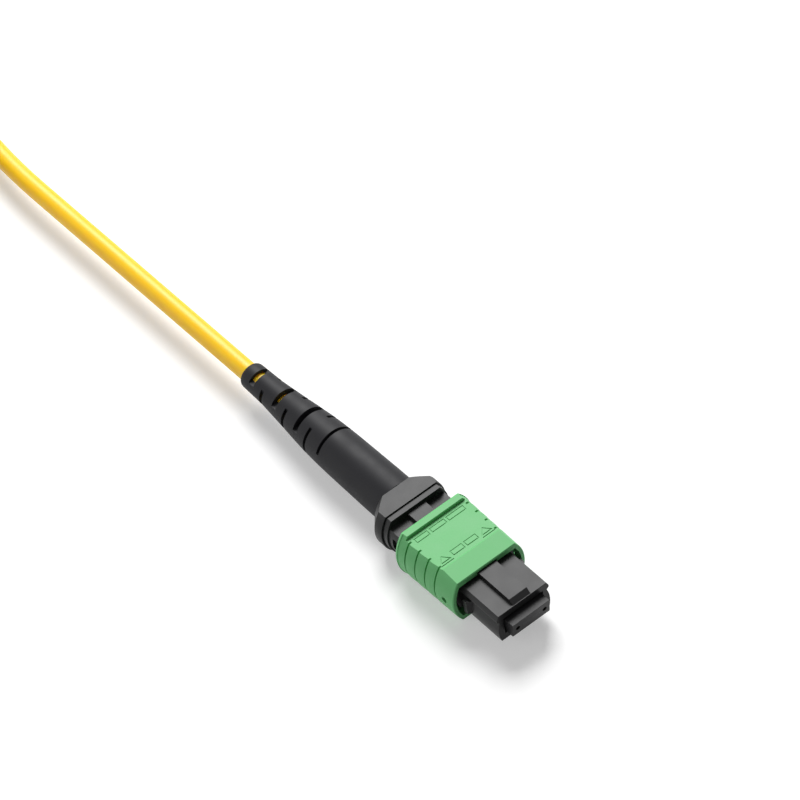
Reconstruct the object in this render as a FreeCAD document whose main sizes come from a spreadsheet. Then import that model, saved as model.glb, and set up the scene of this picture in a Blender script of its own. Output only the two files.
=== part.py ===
import FreeCAD, Part
import math
import os
from types import SimpleNamespace

import Sketcher

# Multi-fibre push-on connector with a pull sleeve, on a round cord that ends in a second one.
#
# Each connector is drawn on its own axis: x = 0 is the front face of the nose, +X runs out of
# the nose, +Z is the key side. A place along the axis is a distance behind the nose's face.

V = FreeCAD.Vector

# ---------------------------------------------------------------- driving sizes, millimetres

SIZES = {
    # nose of the inner housing
    "nose_length": 8.6,
    "nose_top": 2.58,
    "nose_top_half_width": 4.13,
    "nose_edge_half_width": 4.48,
    "nose_edge_top": 1.87,
    "nose_edge_bottom": 1.55,
    "nose_waist_half_width": 4.09,
    "nose_waist_height": 1.19,
    "nose_belly_radius": 5.35,
    "nose_bottom": 2.51,
    "nose_bottom_half_width": 4.1,
    "key_half_width": 1.51,
    "key_top": 3.24,
    "key_bevel": 0.8,
    "rear_key_top": 2.71,
    # long rear section of the inner housing
    "shank_overlap": 0.7,
    "channel_wall": 0.47,
    "channel_cover": 0.18,
    "shank_half_height": 2.0,
    # side catches that an adapter's arms grip
    "catch_front": 5.1,
    "catch_rise": 0.7,
    "catch_length": 1.4,
    "catch_reach": 5.05,
    "catch_half_height": 1.2,
    # ferrule and what floats with it
    "ferrule_tip": 1.5,
    "ferrule_slant": 0.17,
    "ferrule_half_width": 3.2,
    "ferrule_half_height": 1.25,
    "ferrule_rear": 6.3,
    "shoulder_front": 4.75,
    "shoulder_ledge": 0.4,
    "shoulder_ledge_height": 0.25,
    "guide_hole_radius": 0.35,
    "guide_hole_reach": 2.3,
    "glue_window_front": 1.5,
    "glue_window_length": 2.0,
    "glue_window_half_width": 1.4,
    "ribbon_half_width": 1.475,
    "ribbon_half_height": 0.15,
    "ribbon_front": 0.5,
    "ribbon_slot_gap": 0.05,
    "ferrule_boot_front": 3.2,
    "ferrule_boot_rear": 7.6,
    "ferrule_boot_wall": 0.175,
    "ferrule_boot_cheek": 0.55,
    "boot_pocket_gap": 0.04,
    "keeper_thickness": 1.55,
    "keeper_inset": 0.1,
    "keeper_hole_gap": 0.12,
    # clearances round the floating ferrule
    "window_gap": 0.21,
    "float_gap": 0.12,
    "float_travel": 0.9,
    # oval ferrule spring
    "ferrule_spring_side_gap": 0.52,
    "ferrule_spring_top_gap": 0.17,
    "ferrule_wire_radius": 0.25,
    "ferrule_spring_length": 7.2,
    # pull sleeve
    "sleeve_front": 7.19,
    "ridge_inset": 3.15,
    "panel_length": 10.67,
    "band_length": 1.2,
    "sleeve_front_half_height": 3.84,
    "sleeve_ridge_half_height": 3.93,
    "sleeve_panel_half_height": 3.74,
    "sleeve_band_half_height": 4.2,
    "sleeve_wall": 0.55,
    "band_rise": 0.3,
    "rib_rise": 0.04,
    "groove_depth": 0.32,
    "groove_width": 0.24,
    "groove_inset": 0.71,
    "groove_margin": 0.72,
    "side_hole_inset": 2.41,
    "side_hole_drop": 1.0,
    "side_hole_radius": 0.28,
    "side_hole_depth": 0.45,
    "sleeve_gap": 0.2,
    "sleeve_key_gap": 0.14,
    "mouth_relief": 0.35,
    "mouth_half_height": 2.9,
    "mouth_depth": 1.51,
    # springs that return the sleeve, one on each side
    "side_spring_radius": 0.54,
    "side_wire_radius": 0.11,
    "side_spring_length": 6.0,
    "side_spring_gap": 0.08,
    "lug_gap": 0.05,
    "lug_length": 0.8,
    "lug_clearance": 0.12,
    "lug_root": 0.2,
    # rear body that pushes the ferrule spring
    "flange_front": 22.13,
    "flange_thickness": 0.85,
    "flange_lip": 0.25,
    "flange_half_height": 3.23,
    "push_gap": 0.07,
    "push_bore_side_room": 0.825,
    "push_bore_top_room": 0.55,
    "hook_length": 1.7,
    "hook_inset": 0.93,
    "hook_sink": 0.35,
    "hook_half_height": 0.9,
    "hook_gap": 0.1,
    "barrel_wall": 0.5,
    "ribbon_bore_gap": 0.075,
    "barrel_length": 7.0,
    # crimp
    "yarn_gap": 0.02,
    "yarn_thickness": 0.11,
    "crimp_thickness": 0.3,
    "barrel_tip": 0.48,
    "crimp_front_gap": 0.22,
    # back shell
    "shell_gap": 0.1,
    "shell_crest_length": 1.42,
    "shell_lip": 0.29,
    "shell_length": 3.22,
    "shell_rear_lip": 0.62,
    "shell_flat_lip": 0.22,
    "shell_bore_gap": 0.05,
    # bend-relief boot
    "boot_gap": 0.06,
    "boot_wall": 0.59,
    "boot_shoulder": 37.5,
    "boot_bend_inset": 12.7,
    "boot_bend_rise": 0.75,
    "boot_neck_inset": 5.7,
    "boot_neck_rise": 0.165,
    "boot_end": 58.7,
    "boot_end_wall": 0.5,
    "boot_pocket_depth": 1.1,
    "boot_cone_length": 2.0,
    "boot_bore_gap": 0.05,
    "slot_inset": 2.4,
    "slot_pitch": 5.46,
    "slot_width": 1.05,
    "slot_width_fall": 0.17,
    "slot_sink": 0.4,
    "side_slot_inset": 4.8,
    "side_slot_width": 0.6,
    "side_slot_sink": 0.05,
    # cord
    "cord_radius": 1.45,
    "hank_distance": 83.965,
    "hank_side": 8.05,
    "strand_gap": 0.05,
    "hank_fold_radius": 9.15,
    "hank_run": 52.0,
    "tie_thickness": 0.6,
    "tie_width": 8.0,
    "tie_gap": 0.05,
    "rest_gap": 0.3,
    "tail_length": 16.5,
    # how far a cut runs past the faces that it opens
    "overrun": 0.4,
}

GROOVE_COUNT = 4
SLOT_COUNT = 4
WIRE_SIDES = 4
HANK_LAYERS = 3
HANK_STRANDS_WIDE = 2
HANK_TURNS = 5

doc = FreeCAD.newDocument("MpoConnector")
sheet = doc.addObject("Spreadsheet::Sheet", "sheet")


class Size:
    """A length that carries its value and the sheet formula that gives it."""

    def __init__(self, value, formula):
        self.value = float(value)
        self.formula = formula

    def __add__(self, other):
        return joined(self, "+", other, self.value + sized(other).value)

    def __sub__(self, other):
        return joined(self, "-", other, self.value - sized(other).value)

    def __mul__(self, other):
        return joined(self, "*", other, self.value * sized(other).value)

    def __truediv__(self, other):
        return joined(self, "/", other, self.value / sized(other).value)

    def __neg__(self):
        return Size(-self.value, "(-%s)" % self.formula)


def sized(number):
    """A plain number as a Size; a Size as it is."""
    if isinstance(number, Size):
        return number
    return Size(number, repr(number))


def joined(left, sign, right, value):
    return Size(value, "(%s %s %s)" % (left.formula, sign, sized(right).formula))


def root(size):
    return Size(math.sqrt(size.value), "sqrt(%s)" % size.formula)


def read_sizes():
    """Writes the driving sizes into the sheet and gives them back by name."""
    found = SimpleNamespace()
    for row, (name, value) in enumerate(SIZES.items(), start=1):
        sheet.set("A%d" % row, name.replace("_", " "))
        sheet.set("B%d" % row, str(value))
        sheet.setAlias("B%d" % row, name)
        setattr(found, name, Size(value, "sheet." + name))
    doc.recompute()
    return found


d = read_sizes()
NONE = Size(0, "0")

# ---------------------------------------------------------------- sizes that follow from others

# the ferrule's shoulder stops against the step behind the window
d.shoulder_half_width = d.ferrule_half_width + d.shoulder_ledge
d.shoulder_half_height = d.ferrule_half_height + d.shoulder_ledge_height
d.window_half_width = d.ferrule_half_width + d.window_gap
d.window_half_height = d.ferrule_half_height + d.window_gap
d.window_depth = d.shoulder_front
d.cavity_half_width = d.shoulder_half_width + d.float_gap
d.cavity_half_height = d.shoulder_half_height + d.float_gap

# the ribbon passes through the ferrule's boot, the keeper and the ferrule's spring
d.ribbon_slot_half_width = d.ribbon_half_width + d.ribbon_slot_gap
d.ribbon_slot_half_height = d.ribbon_half_height + d.ribbon_slot_gap
d.ferrule_boot_half_width = d.ribbon_slot_half_width + d.ferrule_boot_wall
d.ferrule_boot_half_height = d.ribbon_slot_half_height + d.ferrule_boot_cheek
d.keeper_half_width = d.shoulder_half_width - d.keeper_inset
d.keeper_half_height = d.shoulder_half_height - d.keeper_inset
d.keeper_rear = d.ferrule_rear + d.keeper_thickness
d.ferrule_spring_reach = d.cavity_half_width - d.ferrule_spring_side_gap - d.ferrule_wire_radius
d.ferrule_spring_rise = d.cavity_half_height - d.ferrule_spring_top_gap - d.ferrule_wire_radius

# side channels lie outside the cavity, and the shank covers their springs' middle
d.side_spring_outside = d.side_spring_radius + d.side_wire_radius
d.channel_half_height = d.side_spring_outside + d.side_spring_gap
d.channel_floor = d.cavity_half_width + d.channel_wall
d.side_spring_reach = d.channel_floor + d.channel_half_height
d.channel_roof = d.side_spring_reach + d.channel_half_height
d.shank_radius = d.side_spring_reach + d.channel_cover
d.shank_front = d.nose_length - d.shank_overlap
d.catch_crest = d.catch_front + d.catch_rise
d.catch_rear = d.catch_front + d.catch_length
d.catch_root = d.nose_waist_half_width - d.overrun

# the sleeve slides on the shank, and its lugs ride in the shank's side channels
d.bore_radius = d.shank_radius + d.sleeve_gap
d.bore_half_height = d.rear_key_top + d.sleeve_key_gap
d.mouth_radius = d.bore_radius + d.mouth_relief
d.mouth_rear = d.sleeve_front + d.mouth_depth
d.sleeve_nose_radius = d.mouth_radius + d.sleeve_wall
d.sleeve_band_radius = d.sleeve_nose_radius + d.band_rise
d.sleeve_ridge = d.sleeve_front + d.ridge_inset
d.sleeve_step = d.sleeve_front + d.panel_length
d.sleeve_rear = d.sleeve_step + d.band_length
d.groove_front = d.sleeve_ridge + d.groove_inset
d.groove_pitch = (d.sleeve_step - d.groove_front - d.groove_margin) / (GROOVE_COUNT - 1)
d.side_hole_place = d.sleeve_front + d.side_hole_inset
d.channel_front = d.mouth_rear - d.lug_gap
d.lug_rear = d.mouth_rear + d.lug_length
d.channel_rear = d.lug_rear + d.side_spring_length

# the rear body pushes the ferrule's spring, snaps into the shank and closes it with a flange
d.push_front = d.keeper_rear + d.ferrule_spring_length
d.push_bore_half_width = d.ribbon_half_width + d.push_bore_side_room
d.push_bore_half_height = d.ribbon_half_height + d.push_bore_top_room
d.hook_rear = d.flange_front - d.hook_inset
d.hook_reach = d.shank_radius - d.hook_sink
d.flange_radius = d.shank_radius + d.flange_lip
d.flange_rear = d.flange_front + d.flange_thickness

# the crimp ring clamps the yarn on the barrel, and the shell and the boot pass over it
d.barrel_bore_radius = d.ribbon_half_width + d.ribbon_bore_gap
d.barrel_radius = d.barrel_bore_radius + d.barrel_wall
d.barrel_rear = d.flange_rear + d.barrel_length
d.yarn_inside = d.barrel_radius + d.yarn_gap
d.yarn_outside = d.yarn_inside + d.yarn_thickness
d.crimp_inside = d.yarn_outside + d.yarn_gap
d.crimp_outside = d.crimp_inside + d.crimp_thickness
d.crimp_front = d.flange_rear + d.crimp_front_gap
d.crimp_rear = d.barrel_rear - d.barrel_tip
d.shell_front = d.flange_rear + d.shell_gap
d.shell_crest = d.shell_front + d.shell_crest_length
d.shell_rear = d.shell_front + d.shell_length
d.shell_crest_radius = d.flange_radius + d.shell_lip
d.shell_half_height = d.flange_half_height + d.shell_flat_lip
d.shell_bore = d.crimp_outside / math.cos(math.pi / 6) + d.shell_bore_gap

# the boot starts behind the shell, and its slots are set out from its end
d.boot_front = d.shell_rear + d.boot_gap
d.boot_front_radius = d.shell_bore + d.boot_wall
d.shell_rear_radius = d.boot_front_radius + d.shell_rear_lip
d.boot_pocket_rear = d.barrel_rear + d.boot_pocket_depth
d.boot_bore = d.cord_radius + d.boot_bore_gap
d.boot_end_radius = d.boot_bore + d.boot_end_wall
d.boot_neck = d.boot_end - d.boot_neck_inset
d.boot_neck_radius = d.boot_end_radius + d.boot_neck_rise
d.boot_bend = d.boot_end - d.boot_bend_inset
d.boot_bend_radius = d.boot_neck_radius + d.boot_bend_rise
d.slot_rear = d.boot_end - d.slot_inset
d.slot_floor = d.cord_radius - d.slot_sink
d.side_slot_rear = d.boot_end - d.side_slot_inset
d.side_slot_floor = d.cord_radius - d.side_slot_sink
d.sheath_front = d.barrel_rear + d.yarn_gap

# the connector stands on its sleeve's rear bands, and its middle is the model's origin
d.axis_height = d.sleeve_band_half_height
d.tip = d.ferrule_tip + d.ferrule_slant
d.centre_shift = (d.boot_end - d.tip) / 2

# ---------------------------------------------------------------- drawing helpers


def bind(item, name, size):
    item.setExpression(name, sized(size).formula)


def edge_between(start, end, radius):
    """The sketch edge from start to end, and whether the edge's own first point is start."""
    first = V(sized(start[0]).value, sized(start[1]).value, 0)
    last = V(sized(end[0]).value, sized(end[1]).value, 0)
    if radius is None:
        return Part.LineSegment(first, last), True
    chord = last - first
    left = V(-chord.y, chord.x, 0).normalize()
    rise = math.sqrt(radius.value**2 - (chord.Length / 2) ** 2)
    turns_left = radius.value > 0
    centre = (first + last) / 2 + left * (rise if turns_left else -rise)
    begin, finish = (first, last) if turns_left else (last, first)
    angles = [math.atan2(p.y - centre.y, p.x - centre.x) for p in (begin, finish)]
    circle = Part.Circle(centre, V(0, 0, 1), abs(radius.value))
    return Part.ArcOfCircle(circle, angles[0], angles[1]), turns_left


def pin(drawing, edge, point, corner):
    """Ties one corner to the sketch's origin by its two distances."""
    for kind, axis, size in (("DistanceX", -2, sized(corner[0])), ("DistanceY", -1, sized(corner[1]))):
        if size.formula == "0":
            drawing.addConstraint(Sketcher.Constraint("PointOnObject", edge, point, axis))
            continue
        number = drawing.addConstraint(Sketcher.Constraint(kind, -1, 1, edge, point, size.value))
        bind(drawing, "Constraints[%d]" % number, size)


def draw_loop(drawing, loop):
    """Draws a closed outline; a corner's third entry is the radius of the arc that leaves it."""
    base = drawing.GeometryCount
    count = len(loop)
    radii = [corner[2] if len(corner) > 2 else None for corner in loop]
    ends = []
    for i, corner in enumerate(loop):
        edge, forward = edge_between(corner, loop[(i + 1) % count], radii[i])
        drawing.addGeometry(edge, False)
        ends.append((1, 2) if forward else (2, 1))
    for i, corner in enumerate(loop):
        follower = (i + 1) % count
        meeting = (base + i, ends[i][1], base + follower, ends[follower][0])
        drawing.addConstraint(Sketcher.Constraint("Coincident", *meeting))
        pin(drawing, base + i, ends[i][0], corner)
        if radii[i] is not None:
            round_edge = Sketcher.Constraint("Radius", base + i, abs(radii[i].value))
            number = drawing.addConstraint(round_edge)
            bind(drawing, "Constraints[%d]" % number, radii[i] if radii[i].value > 0 else -radii[i])


def draw_circle(drawing, radius, across, up):
    circle = Part.Circle(V(sized(across).value, sized(up).value, 0), V(0, 0, 1), radius.value)
    number = drawing.addGeometry(circle, False)
    pin(drawing, number, 3, (across, up))
    constraint = drawing.addConstraint(Sketcher.Constraint("Radius", number, radius.value))
    bind(drawing, "Constraints[%d]" % constraint, radius)


def rectangle(left, right, low, high):
    return [(left, low), (right, low), (right, high), (left, high)]


def upright(half_width, half_height):
    """A rectangle round the axis."""
    return rectangle(-half_width, half_width, -half_height, half_height)


def flatted(radius, half_height):
    """A circle round the axis with a flat at its top and bottom."""
    half_width = root(radius * radius - half_height * half_height)
    return [
        (half_width, -half_height, radius),
        (half_width, half_height),
        (-half_width, half_height, radius),
        (-half_width, -half_height),
    ]


def both_sides(low, high, half_height):
    """Two rectangles, one on each side of the axis."""
    right = rectangle(low, high, -half_height, half_height)
    left = rectangle(-high, -low, -half_height, half_height)
    return [right, left]


class Piece:
    """One solid, built from features along, round and across the connector's axis."""

    def __init__(self, name):
        self.body = doc.addObject("PartDesign::Body", name)
        self.body.Label = name

    def sketch(self, role, offset, loops, circles=()):
        drawing = self.body.newObject("Sketcher::SketchObject", "Outline")
        plane = [f for f in self.body.Origin.OriginFeatures if f.Role == role][0]
        drawing.AttachmentSupport = [(plane, "")]
        drawing.MapMode = "FlatFace"
        bind(drawing, "AttachmentOffset.Base.z", offset)
        for loop in loops:
            draw_loop(drawing, loop)
        for circle in circles:
            draw_circle(drawing, *circle)
        return drawing

    def volume(self):
        return self.body.Shape.Volume

    def feature(self, kind, profile, settings, sizes):
        """Adds a feature, and makes sure that it changed the solid in the way its kind says."""
        before = self.volume() if self.body.Shape.Solids else 0
        item = self.body.newObject("PartDesign::" + kind, kind)
        item.Profile = profile
        for name, value in settings.items():
            setattr(item, name, value)
        for name, size in sizes.items():
            bind(item, name, size)
        doc.recompute()
        profile.Visibility = False
        grows = kind in ("Pad", "Revolution")
        changed = self.volume() - before if grows else before - self.volume()
        if changed <= 0:
            raise ValueError("%s: %s changes nothing" % (self.body.Label, item.Name))
        return item

    def pad(self, front, back, *loops, circles=()):
        """Adds a section between two distances behind the nose's face."""
        profile = self.sketch("YZ_Plane", -sized(back), loops, circles)
        return self.feature("Pad", profile, {}, {"Length": sized(back) - front})

    def pocket(self, front, back, *loops, circles=()):
        """Cuts a section between two distances behind the nose's face."""
        profile = self.sketch("YZ_Plane", -sized(front), loops, circles)
        return self.feature("Pocket", profile, {}, {"Length": sized(back) - front})

    def pad_across(self, role, half_length, *loops):
        profile = self.sketch(role, NONE, loops)
        return self.feature("Pad", profile, {"Midplane": True}, {"Length": half_length * 2})

    def pocket_across(self, role, half_length, *loops):
        profile = self.sketch(role, NONE, loops)
        return self.feature("Pocket", profile, {"Midplane": True}, {"Length": half_length * 2})

    def turn(self, kind, loop):
        """Turns a half outline (place along the axis, radius) round the axis."""
        profile = self.sketch("XY_Plane", NONE, [loop])
        return self.feature(kind, profile, {"ReferenceAxis": (profile, ["H_Axis"])}, {})


# ---------------------------------------------------------------- pieces of one connector


def inner_housing(name):
    """Dark housing: keyed nose with side catches, and the shank that the sleeve slides on."""
    housing = Piece(name)
    right = [
        (d.nose_bottom_half_width, -d.nose_bottom, d.nose_belly_radius),
        (d.nose_waist_half_width, d.nose_waist_height),
        (d.nose_edge_half_width, d.nose_edge_bottom),
        (d.nose_edge_half_width, d.nose_edge_top),
        (d.nose_top_half_width, d.nose_top),
    ]
    left = [
        (-d.nose_top_half_width, d.nose_top),
        (-d.nose_edge_half_width, d.nose_edge_top),
        (-d.nose_edge_half_width, d.nose_edge_bottom),
        (-d.nose_waist_half_width, d.nose_waist_height, d.nose_belly_radius),
        (-d.nose_bottom_half_width, -d.nose_bottom),
    ]
    housing.pad(NONE, d.nose_length, right + left)
    key = [
        (NONE, d.nose_waist_height),
        (NONE, d.nose_top),
        (-d.key_bevel, d.key_top),
        (-d.nose_length, d.key_top),
        (-d.nose_length, d.nose_waist_height),
    ]
    housing.pad_across("XZ_Plane", d.key_half_width, key)
    housing.pad(d.shank_front, d.flange_front, flatted(d.shank_radius, d.shank_half_height))
    rear_key = rectangle(-d.key_half_width, d.key_half_width, NONE, d.rear_key_top)
    housing.pad(d.shank_front, d.flange_front, rear_key)
    catch_right = [
        (-d.catch_front, d.catch_root),
        (-d.catch_crest, d.catch_reach),
        (-d.catch_rear, d.catch_reach),
        (-d.catch_rear, d.catch_root),
    ]
    catch_left = [(corner[0], -corner[1]) for corner in catch_right]
    housing.pad_across("XY_Plane", d.catch_half_height, catch_right, catch_left)
    housing.pocket(-d.overrun, d.window_depth, upright(d.window_half_width, d.window_half_height))
    cavity = upright(d.cavity_half_width, d.cavity_half_height)
    housing.pocket(d.window_depth, d.flange_front + d.overrun, cavity)
    past_side = d.shank_radius + d.overrun
    channels = both_sides(d.channel_floor, past_side, d.channel_half_height)
    housing.pocket(d.channel_front, d.channel_rear, *channels)
    windows = both_sides(d.cavity_half_width - d.overrun, past_side, d.hook_half_height + d.hook_gap)
    housing.pocket(d.hook_rear - d.hook_length - d.hook_gap, d.hook_rear + d.hook_gap, *windows)
    return housing.body


def ribbed_outline(grooves):
    """Half outline of the sleeve: nose, ribs that step up backwards with grooves between, band."""
    outline = [(-d.sleeve_front, NONE), (-d.sleeve_front, d.sleeve_nose_radius)]
    floor = d.sleeve_nose_radius - d.groove_depth
    radius = d.sleeve_nose_radius
    for rib in range(grooves):
        groove = d.groove_front + d.groove_pitch * rib
        outline.append((-(groove - d.groove_width / 2), radius))
        outline.append((-(groove - d.groove_width / 2), floor))
        outline.append((-(groove + d.groove_width / 2), floor))
        radius = d.sleeve_nose_radius + d.rib_rise * (rib + 1)
        outline.append((-(groove + d.groove_width / 2), radius))
    outline.append((-d.sleeve_step, radius))
    outline.append((-d.sleeve_step, d.sleeve_band_radius))
    outline.append((-d.sleeve_rear, d.sleeve_band_radius))
    outline.append((-d.sleeve_rear, NONE))
    return outline


def pull_sleeve(name, grooves):
    """Green sleeve: ribbed round sides, and top and bottom panels recessed for finger and thumb."""
    sleeve = Piece(name)
    sleeve.turn("Revolution", ribbed_outline(grooves))
    past = d.sleeve_band_radius + d.overrun
    top = [
        (-(d.sleeve_front - d.overrun), d.sleeve_front_half_height),
        (-(d.sleeve_front - d.overrun), past),
        (-(d.sleeve_rear + d.overrun), past),
        (-(d.sleeve_rear + d.overrun), d.sleeve_band_half_height),
        (-d.sleeve_step, d.sleeve_band_half_height),
        (-d.sleeve_step, d.sleeve_panel_half_height),
        (-d.sleeve_ridge, d.sleeve_ridge_half_height),
        (-d.sleeve_front, d.sleeve_front_half_height),
    ]
    bottom = [(corner[0], -corner[1]) for corner in top]
    sleeve.pocket_across("XZ_Plane", past, top, bottom)
    sleeve.pocket(
        d.sleeve_front - d.overrun, d.mouth_rear, flatted(d.mouth_radius, d.mouth_half_height)
    )
    sleeve.pocket(
        d.mouth_rear - d.overrun, d.sleeve_rear + d.overrun, flatted(d.bore_radius, d.bore_half_height)
    )
    key_half_width = d.key_half_width + d.sleeve_gap
    key_slot = rectangle(-key_half_width, key_half_width, NONE, d.key_top + d.sleeve_key_gap)
    sleeve.pocket(d.sleeve_front - d.overrun, d.nose_length + d.overrun, key_slot)
    channels = both_sides(d.channel_floor, d.channel_roof, d.channel_half_height)
    sleeve.pocket(d.lug_rear, d.sleeve_rear + d.overrun, *channels)
    lugs = both_sides(
        d.channel_floor + d.lug_clearance,
        d.bore_radius + d.lug_root,
        d.channel_half_height - d.lug_clearance,
    )
    sleeve.pad(d.mouth_rear, d.lug_rear, *lugs)
    hole_floor = d.sleeve_nose_radius - d.side_hole_depth
    hole_place = (-d.side_hole_place, -d.side_hole_drop)
    for side in (-1, 1):
        drawing = sleeve.sketch("XZ_Plane", hole_floor * side, [], [(d.side_hole_radius, *hole_place)])
        reach = {"Length": d.side_hole_depth + d.overrun}
        sleeve.feature("Pocket", drawing, {"Reversed": side > 0}, reach)
    return sleeve.body


def ferrule(name):
    """Multi-fibre ferrule: shoulder, two guide holes, glue window, angled end face."""
    block = Piece(name)
    side = [
        (d.ferrule_tip + d.ferrule_slant, d.ferrule_half_height),
        (-d.ferrule_rear, d.ferrule_half_height),
        (-d.ferrule_rear, -d.ferrule_half_height),
        (d.ferrule_tip - d.ferrule_slant, -d.ferrule_half_height),
    ]
    block.pad_across("XZ_Plane", d.ferrule_half_width, side)
    shoulder = upright(d.shoulder_half_width, d.shoulder_half_height)
    block.pad(d.shoulder_front, d.ferrule_rear, shoulder)
    guides = [(d.guide_hole_radius, d.guide_hole_reach * side, NONE) for side in (-1, 1)]
    past_tip = -(d.tip + d.overrun)
    block.pocket(past_tip, d.ferrule_rear + d.overrun, circles=guides)
    pocket = upright(
        d.ferrule_boot_half_width + d.boot_pocket_gap, d.ferrule_boot_half_height + d.boot_pocket_gap
    )
    block.pocket(d.ferrule_boot_front, d.ferrule_rear + d.overrun, pocket)
    slot = upright(d.ribbon_slot_half_width, d.ribbon_slot_half_height)
    block.pocket(d.ribbon_front, d.ferrule_boot_front + d.overrun, slot)
    window = rectangle(
        -d.glue_window_half_width, d.glue_window_half_width, NONE, d.ferrule_half_height + d.overrun
    )
    block.pocket(d.glue_window_front, d.glue_window_front + d.glue_window_length, window)
    return block.body


def ferrule_boot(name):
    """Soft sleeve that leads the ribbon into the ferrule."""
    boot = Piece(name)
    outside = upright(d.ferrule_boot_half_width, d.ferrule_boot_half_height)
    inside = upright(d.ribbon_slot_half_width, d.ribbon_slot_half_height)
    boot.pad(d.ferrule_boot_front, d.ferrule_boot_rear, outside, inside)
    return boot.body


def pin_keeper(name):
    """Plate between the ferrule and its spring."""
    keeper = Piece(name)
    outside = upright(d.keeper_half_width, d.keeper_half_height)
    inside = upright(
        d.ferrule_boot_half_width + d.keeper_hole_gap, d.ferrule_boot_half_height + d.keeper_hole_gap
    )
    keeper.pad(d.ferrule_rear, d.keeper_rear, outside, inside)
    return keeper.body


def fibre_ribbon(name):
    """Flat ribbon of fibres from the cable's end to the ferrule's face."""
    ribbon = Piece(name)
    section = upright(d.ribbon_half_width, d.ribbon_half_height)
    ribbon.pad(d.ribbon_front, d.sheath_front, section)
    return ribbon.body


def rear_body(name):
    """Spring push with two snap hooks, the flange behind the housing and the crimp barrel."""
    push = Piece(name)
    tube = upright(d.cavity_half_width - d.push_gap, d.cavity_half_height - d.push_gap)
    push.pad(d.push_front, d.flange_front, tube)
    push.pad(d.flange_front, d.flange_rear, flatted(d.flange_radius, d.flange_half_height))
    push.pad(d.flange_rear, d.barrel_rear, circles=[(d.barrel_radius, NONE, NONE)])
    hook_right = [
        (-(d.hook_rear - d.hook_length), d.push_bore_half_width),
        (-(d.hook_rear - d.hook_length), d.cavity_half_width),
        (-(d.hook_rear - d.hook_length / 2), d.hook_reach),
        (-d.hook_rear, d.hook_reach),
        (-d.hook_rear, d.push_bore_half_width),
    ]
    hook_left = [(corner[0], -corner[1]) for corner in hook_right]
    push.pad_across("XY_Plane", d.hook_half_height, hook_right, hook_left)
    bore = upright(d.push_bore_half_width, d.push_bore_half_height)
    push.pocket(d.push_front - d.overrun, d.flange_front, bore)
    barrel_bore = [(d.barrel_bore_radius, NONE, NONE)]
    push.pocket(d.flange_front - d.overrun, d.barrel_rear + d.overrun, circles=barrel_bore)
    return push.body


def hexagon(half_width):
    """A hexagon round the axis, by half its width across the flats."""
    half_side = half_width * math.tan(math.pi / 6)
    corner = half_side * 2
    return [
        (half_width, -half_side),
        (half_width, half_side),
        (NONE, corner),
        (-half_width, half_side),
        (-half_width, -half_side),
        (NONE, -corner),
    ]


def aramid_yarn(name):
    """Strength yarns of the cord, pressed flat round the barrel under the crimp ring."""
    yarn = Piece(name)
    inside = [(d.yarn_inside, NONE, NONE)]
    yarn.pad(d.crimp_front, d.crimp_rear, hexagon(d.yarn_outside), circles=inside)
    return yarn.body


def crimp_ring(name):
    """Ring closed by a six-sided crimping die."""
    band = Piece(name)
    band.pad(d.crimp_front, d.crimp_rear, hexagon(d.crimp_outside), hexagon(d.crimp_inside))
    return band.body


def back_shell(name):
    """Collar behind the flange: a crest and a cone, flattened at the top and bottom."""
    shell = Piece(name)
    outline = [
        (-d.shell_front, d.shell_bore),
        (-d.shell_front, d.shell_crest_radius),
        (-d.shell_crest, d.shell_crest_radius),
        (-d.shell_rear, d.shell_rear_radius),
        (-d.shell_rear, d.shell_bore),
    ]
    shell.turn("Revolution", outline)
    front = -(d.shell_front - d.overrun)
    back = -(d.shell_rear + d.overrun)
    past = d.shell_crest_radius + d.overrun
    top = rectangle(back, front, d.shell_half_height, past)
    bottom = rectangle(back, front, -past, -d.shell_half_height)
    shell.pocket_across("XZ_Plane", past, top, bottom)
    return shell.body


def boot(name, slots_a_side):
    """Bend relief: long taper with staggered slots that let it flex."""
    relief = Piece(name)
    waist = [(-d.boot_bend, d.boot_bend_radius), (-d.boot_neck, d.boot_neck_radius)]
    outline = [
        (-d.boot_front, d.shell_bore),
        (-d.boot_front, d.boot_front_radius),
        (-d.boot_shoulder, d.boot_front_radius),
        *(waist if slots_a_side else []),
        (-d.boot_end, d.boot_end_radius),
        (-d.boot_end, d.boot_bore),
        (-(d.boot_pocket_rear + d.boot_cone_length), d.boot_bore),
        (-d.boot_pocket_rear, d.shell_bore),
    ]
    relief.turn("Revolution", outline)
    if slots_a_side == 0:
        return relief.body
    past = d.boot_front_radius + d.overrun
    slots = []
    for slot in range(slots_a_side):
        middle = -(d.slot_rear - d.slot_pitch * slot)
        half = (d.slot_width - d.slot_width_fall * slot) / 2
        slots.append(rectangle(middle - half, middle + half, d.slot_floor, past))
        slots.append(rectangle(middle - half, middle + half, -past, -d.slot_floor))
    relief.pocket_across("XZ_Plane", past, *slots)
    side_slots = []
    for slot in range(slots_a_side - 1):
        middle = -(d.side_slot_rear - d.slot_pitch * slot)
        half = d.side_slot_width / 2
        side_slots.append(rectangle(middle - half, middle + half, d.side_slot_floor, past))
        side_slots.append(rectangle(middle - half, middle + half, -past, -d.side_slot_floor))
    relief.pocket_across("XY_Plane", past, *side_slots)
    return relief.body


def cable_end(name):
    """The cord's sheath inside the boot."""
    sheath = Piece(name)
    sheath.pad(d.sheath_front, d.boot_end, circles=[(d.cord_radius, NONE, NONE)])
    return sheath.body


# ---------------------------------------------------------------- springs


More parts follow.
